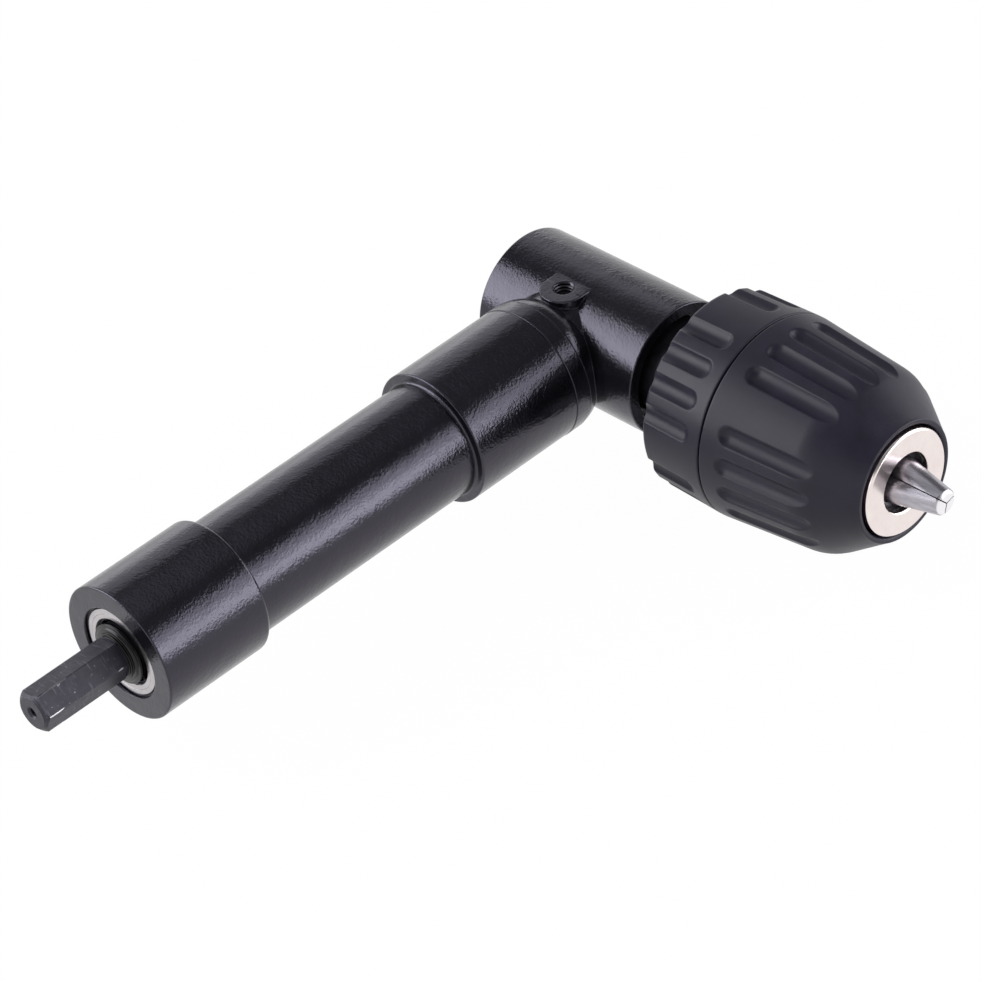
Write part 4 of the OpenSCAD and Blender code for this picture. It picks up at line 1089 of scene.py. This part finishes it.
def floor():
    """A round floor whose rim curves up to a low wall all round, as in a photo studio."""
    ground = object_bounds()[0].z
    floor_r, wall, sweep, centre_r = 2.2, 0.7, 0.4, 0.02
    flat_r = floor_r - sweep
    stations = [(ground, centre_r), (ground, flat_r)]
    stations += [(ground + sweep - sweep * math.cos(turn), flat_r + sweep * math.sin(turn))
                 for turn in (math.radians(a) for a in range(10, 91, 10))]
    stations.append((ground + wall, floor_r))
    floor = lathe("studio_floor", stations, 96)
    top = ground + wall - 0.1 * MM
    select_faces(floor, lambda face: face.calc_center_median().z > top)
    bpy.ops.mesh.delete(type="FACE")
    bpy.ops.mesh.select_all(action="SELECT")
    bpy.ops.mesh.flip_normals()
    leave_edit()
    bpy.ops.object.shade_smooth_by_angle(angle=math.radians(40))
    floor.data.materials.append(pale_floor())
    floor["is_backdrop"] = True


def pale_floor():
    """White where it is seen or mirrored, grey where it lights the object from below.

    The share of grey that stays keeps the object's shadow in sight."""
    white_share, white_strength = 0.92, 1.07
    material = new_material("pale_floor")
    tree = material.node_tree
    path = add_node(tree, "ShaderNodeLightPath").outputs
    seen = maths(tree, "ADD", path["Is Camera Ray"], path["Is Glossy Ray"], use_clamp=True)
    seen = maths(tree, "ADD", seen, path["Is Transmission Ray"], use_clamp=True)
    lit = add_node(tree, "ShaderNodeBsdfDiffuse", Color="#808082")
    white = add_node(tree, "ShaderNodeEmission", Color="#ffffff", Strength=white_strength)
    mix = add_node(tree, "ShaderNodeMixShader", i1=lit.outputs[0],
                   i2=white.outputs[0], i0=maths(tree, "MULTIPLY", seen, white_share))
    add_node(tree, "ShaderNodeOutputMaterial", Surface=mix.outputs[0])
    return material


def lights():
    """Soft boxes round the object, brighter towards their lower half, and a dim room."""
    room_strength = 0.20
    top_spot, top_size, top_radiance = (MIDDLE.x, 0.1, 1.6), 1.5, 0.45
    world = bpy.data.worlds.new("studio")
    bpy.context.scene.world = world
    world.use_nodes = True
    room = world.node_tree.nodes["Background"].inputs
    room["Color"].default_value = linear("#f0f1f6")
    room["Strength"].default_value = room_strength
    for name, azimuth, span, rise, radiance in (
            ("front_softbox", -50, 72, (0, 18), 5.0),
            ("front_upper_softbox", -50, 72, (18, 35), 2.7),
            ("rear_softbox", 131, 52, (7, 36), 5.0),
            ("rear_upper_softbox", 131, 52, (36, 50), 3.7),
            ("far_softbox", 60, 40, (1, 44), 0.85),
            ("left_softbox", 192, 64, (10, 34), 1.1)):
        softbox(name, math.radians(azimuth), math.radians(span),
                [math.tan(math.radians(degrees)) for degrees in rise], radiance)
    area_light("top_softbox", top_spot, top_size, top_size, top_radiance)


def softbox(name, azimuth, span, slopes, radiance):
    """An upright soft box that covers a span sideways and a range of heights."""
    reach = 1.2
    toward = Vector((math.cos(azimuth), math.sin(azimuth), 0))
    low_z, high_z = (reach * slope for slope in slopes)
    spot = MIDDLE + toward * reach + Vector((0, 0, (low_z + high_z) / 2))
    wide, tall = 2 * reach * math.tan(span / 2), high_z - low_z
    light = area_light(name, spot, wide, tall, radiance)
    light.rotation_euler = toward.to_track_quat("Z", "Y").to_euler()


def area_light(name, spot, wide, tall, radiance):
    """An area light of an even radiance, which faces down."""
    deselect()
    bpy.ops.object.light_add(type="AREA", location=spot)
    light = bpy.context.object
    light.name = name
    light.data.shape, light.data.size, light.data.size_y = "RECTANGLE", wide, tall
    light.data.energy = math.pi * radiance * wide * tall
    light.data.color = LIGHT_COLOUR
    return light


def camera():
    """The photograph's camera, solved from points read on it."""
    azimuth, elevation, roll = -0.692863, 0.664157, -0.138820
    distance_back, side, rise = mm(888.38, -21.240, -33.179)
    focal_px, picture_px, sensor, clip_end = 4389.55, 981, 36, 20
    back = Vector((math.sin(azimuth) * math.cos(elevation),
                   -math.cos(azimuth) * math.cos(elevation), math.sin(elevation)))
    right = Vector((math.cos(azimuth), math.sin(azimuth), 0))
    up = back.cross(right)
    turned_right = right * math.cos(roll) + up * math.sin(roll)
    turned_up = up * math.cos(roll) - right * math.sin(roll)
    spot = (Vector((AXIS_X, 0, 0)) + back * distance_back + turned_right * side
            + turned_up * rise)
    deselect()
    bpy.ops.object.camera_add(location=spot)
    camera = bpy.context.object
    turn = Matrix((turned_right, turned_up, back)).transposed().to_4x4()
    camera.matrix_world = Matrix.Translation(spot) @ turn
    camera.data.sensor_width = sensor
    camera.data.lens = focal_px / picture_px * sensor
    camera.data.clip_end = clip_end
    bpy.context.scene.camera = camera


class ATTACHMENT_OT_stage(bpy.types.Operator):
    """Makes the pale floor, the soft lights and the camera of the photograph"""
    bl_idname = "attachment.stage"
    bl_label = "Stage"

    def execute(self, context):
        floor()
        lights()
        camera()
        return {"FINISHED"}


class ATTACHMENT_PT_pieces(bpy.types.Panel):
    """Lists the pieces in the sidebar"""
    bl_label = "Right angle attachment"
    bl_idname = "ATTACHMENT_PT_pieces"
    bl_space_type = "VIEW_3D"
    bl_region_type = "UI"
    bl_category = "Attachment"

    def draw(self, context):
        for operator in OPERATORS:
            self.layout.operator(operator.bl_idname)


SETTINGS = {"attachment_finish": FinishSettings, "attachment_housing": HousingSettings,
            "attachment_chuck": ChuckSettings}
OPERATORS = (ATTACHMENT_OT_finishes, ATTACHMENT_OT_housing_tubes, ATTACHMENT_OT_gear_head,
             ATTACHMENT_OT_input_shaft, ATTACHMENT_OT_tail_bearing,
             ATTACHMENT_OT_output_spindle, ATTACHMENT_OT_chuck_sleeves,
             ATTACHMENT_OT_nose_ring, ATTACHMENT_OT_jaws, ATTACHMENT_OT_inner_parts,
             ATTACHMENT_OT_stage)


def register():
    for kind in (*SETTINGS.values(), *OPERATORS, ATTACHMENT_PT_pieces):
        bpy.utils.register_class(kind)
    for name, kind in SETTINGS.items():
        setattr(bpy.types.Scene, name, bpy.props.PointerProperty(type=kind))


def unregister():
    for name in SETTINGS:
        delattr(bpy.types.Scene, name)
    for kind in (ATTACHMENT_PT_pieces, *reversed(OPERATORS), *SETTINGS.values()):
        bpy.utils.unregister_class(kind)


def main():
    """Builds everything in order."""
    register()
    for operator in OPERATORS:
        group, name = operator.bl_idname.split(".")
        getattr(getattr(bpy.ops, group), name)()
    bpy.context.scene.view_settings.view_transform = "Standard"
    deselect()


if __name__ == "__main__":
    main()
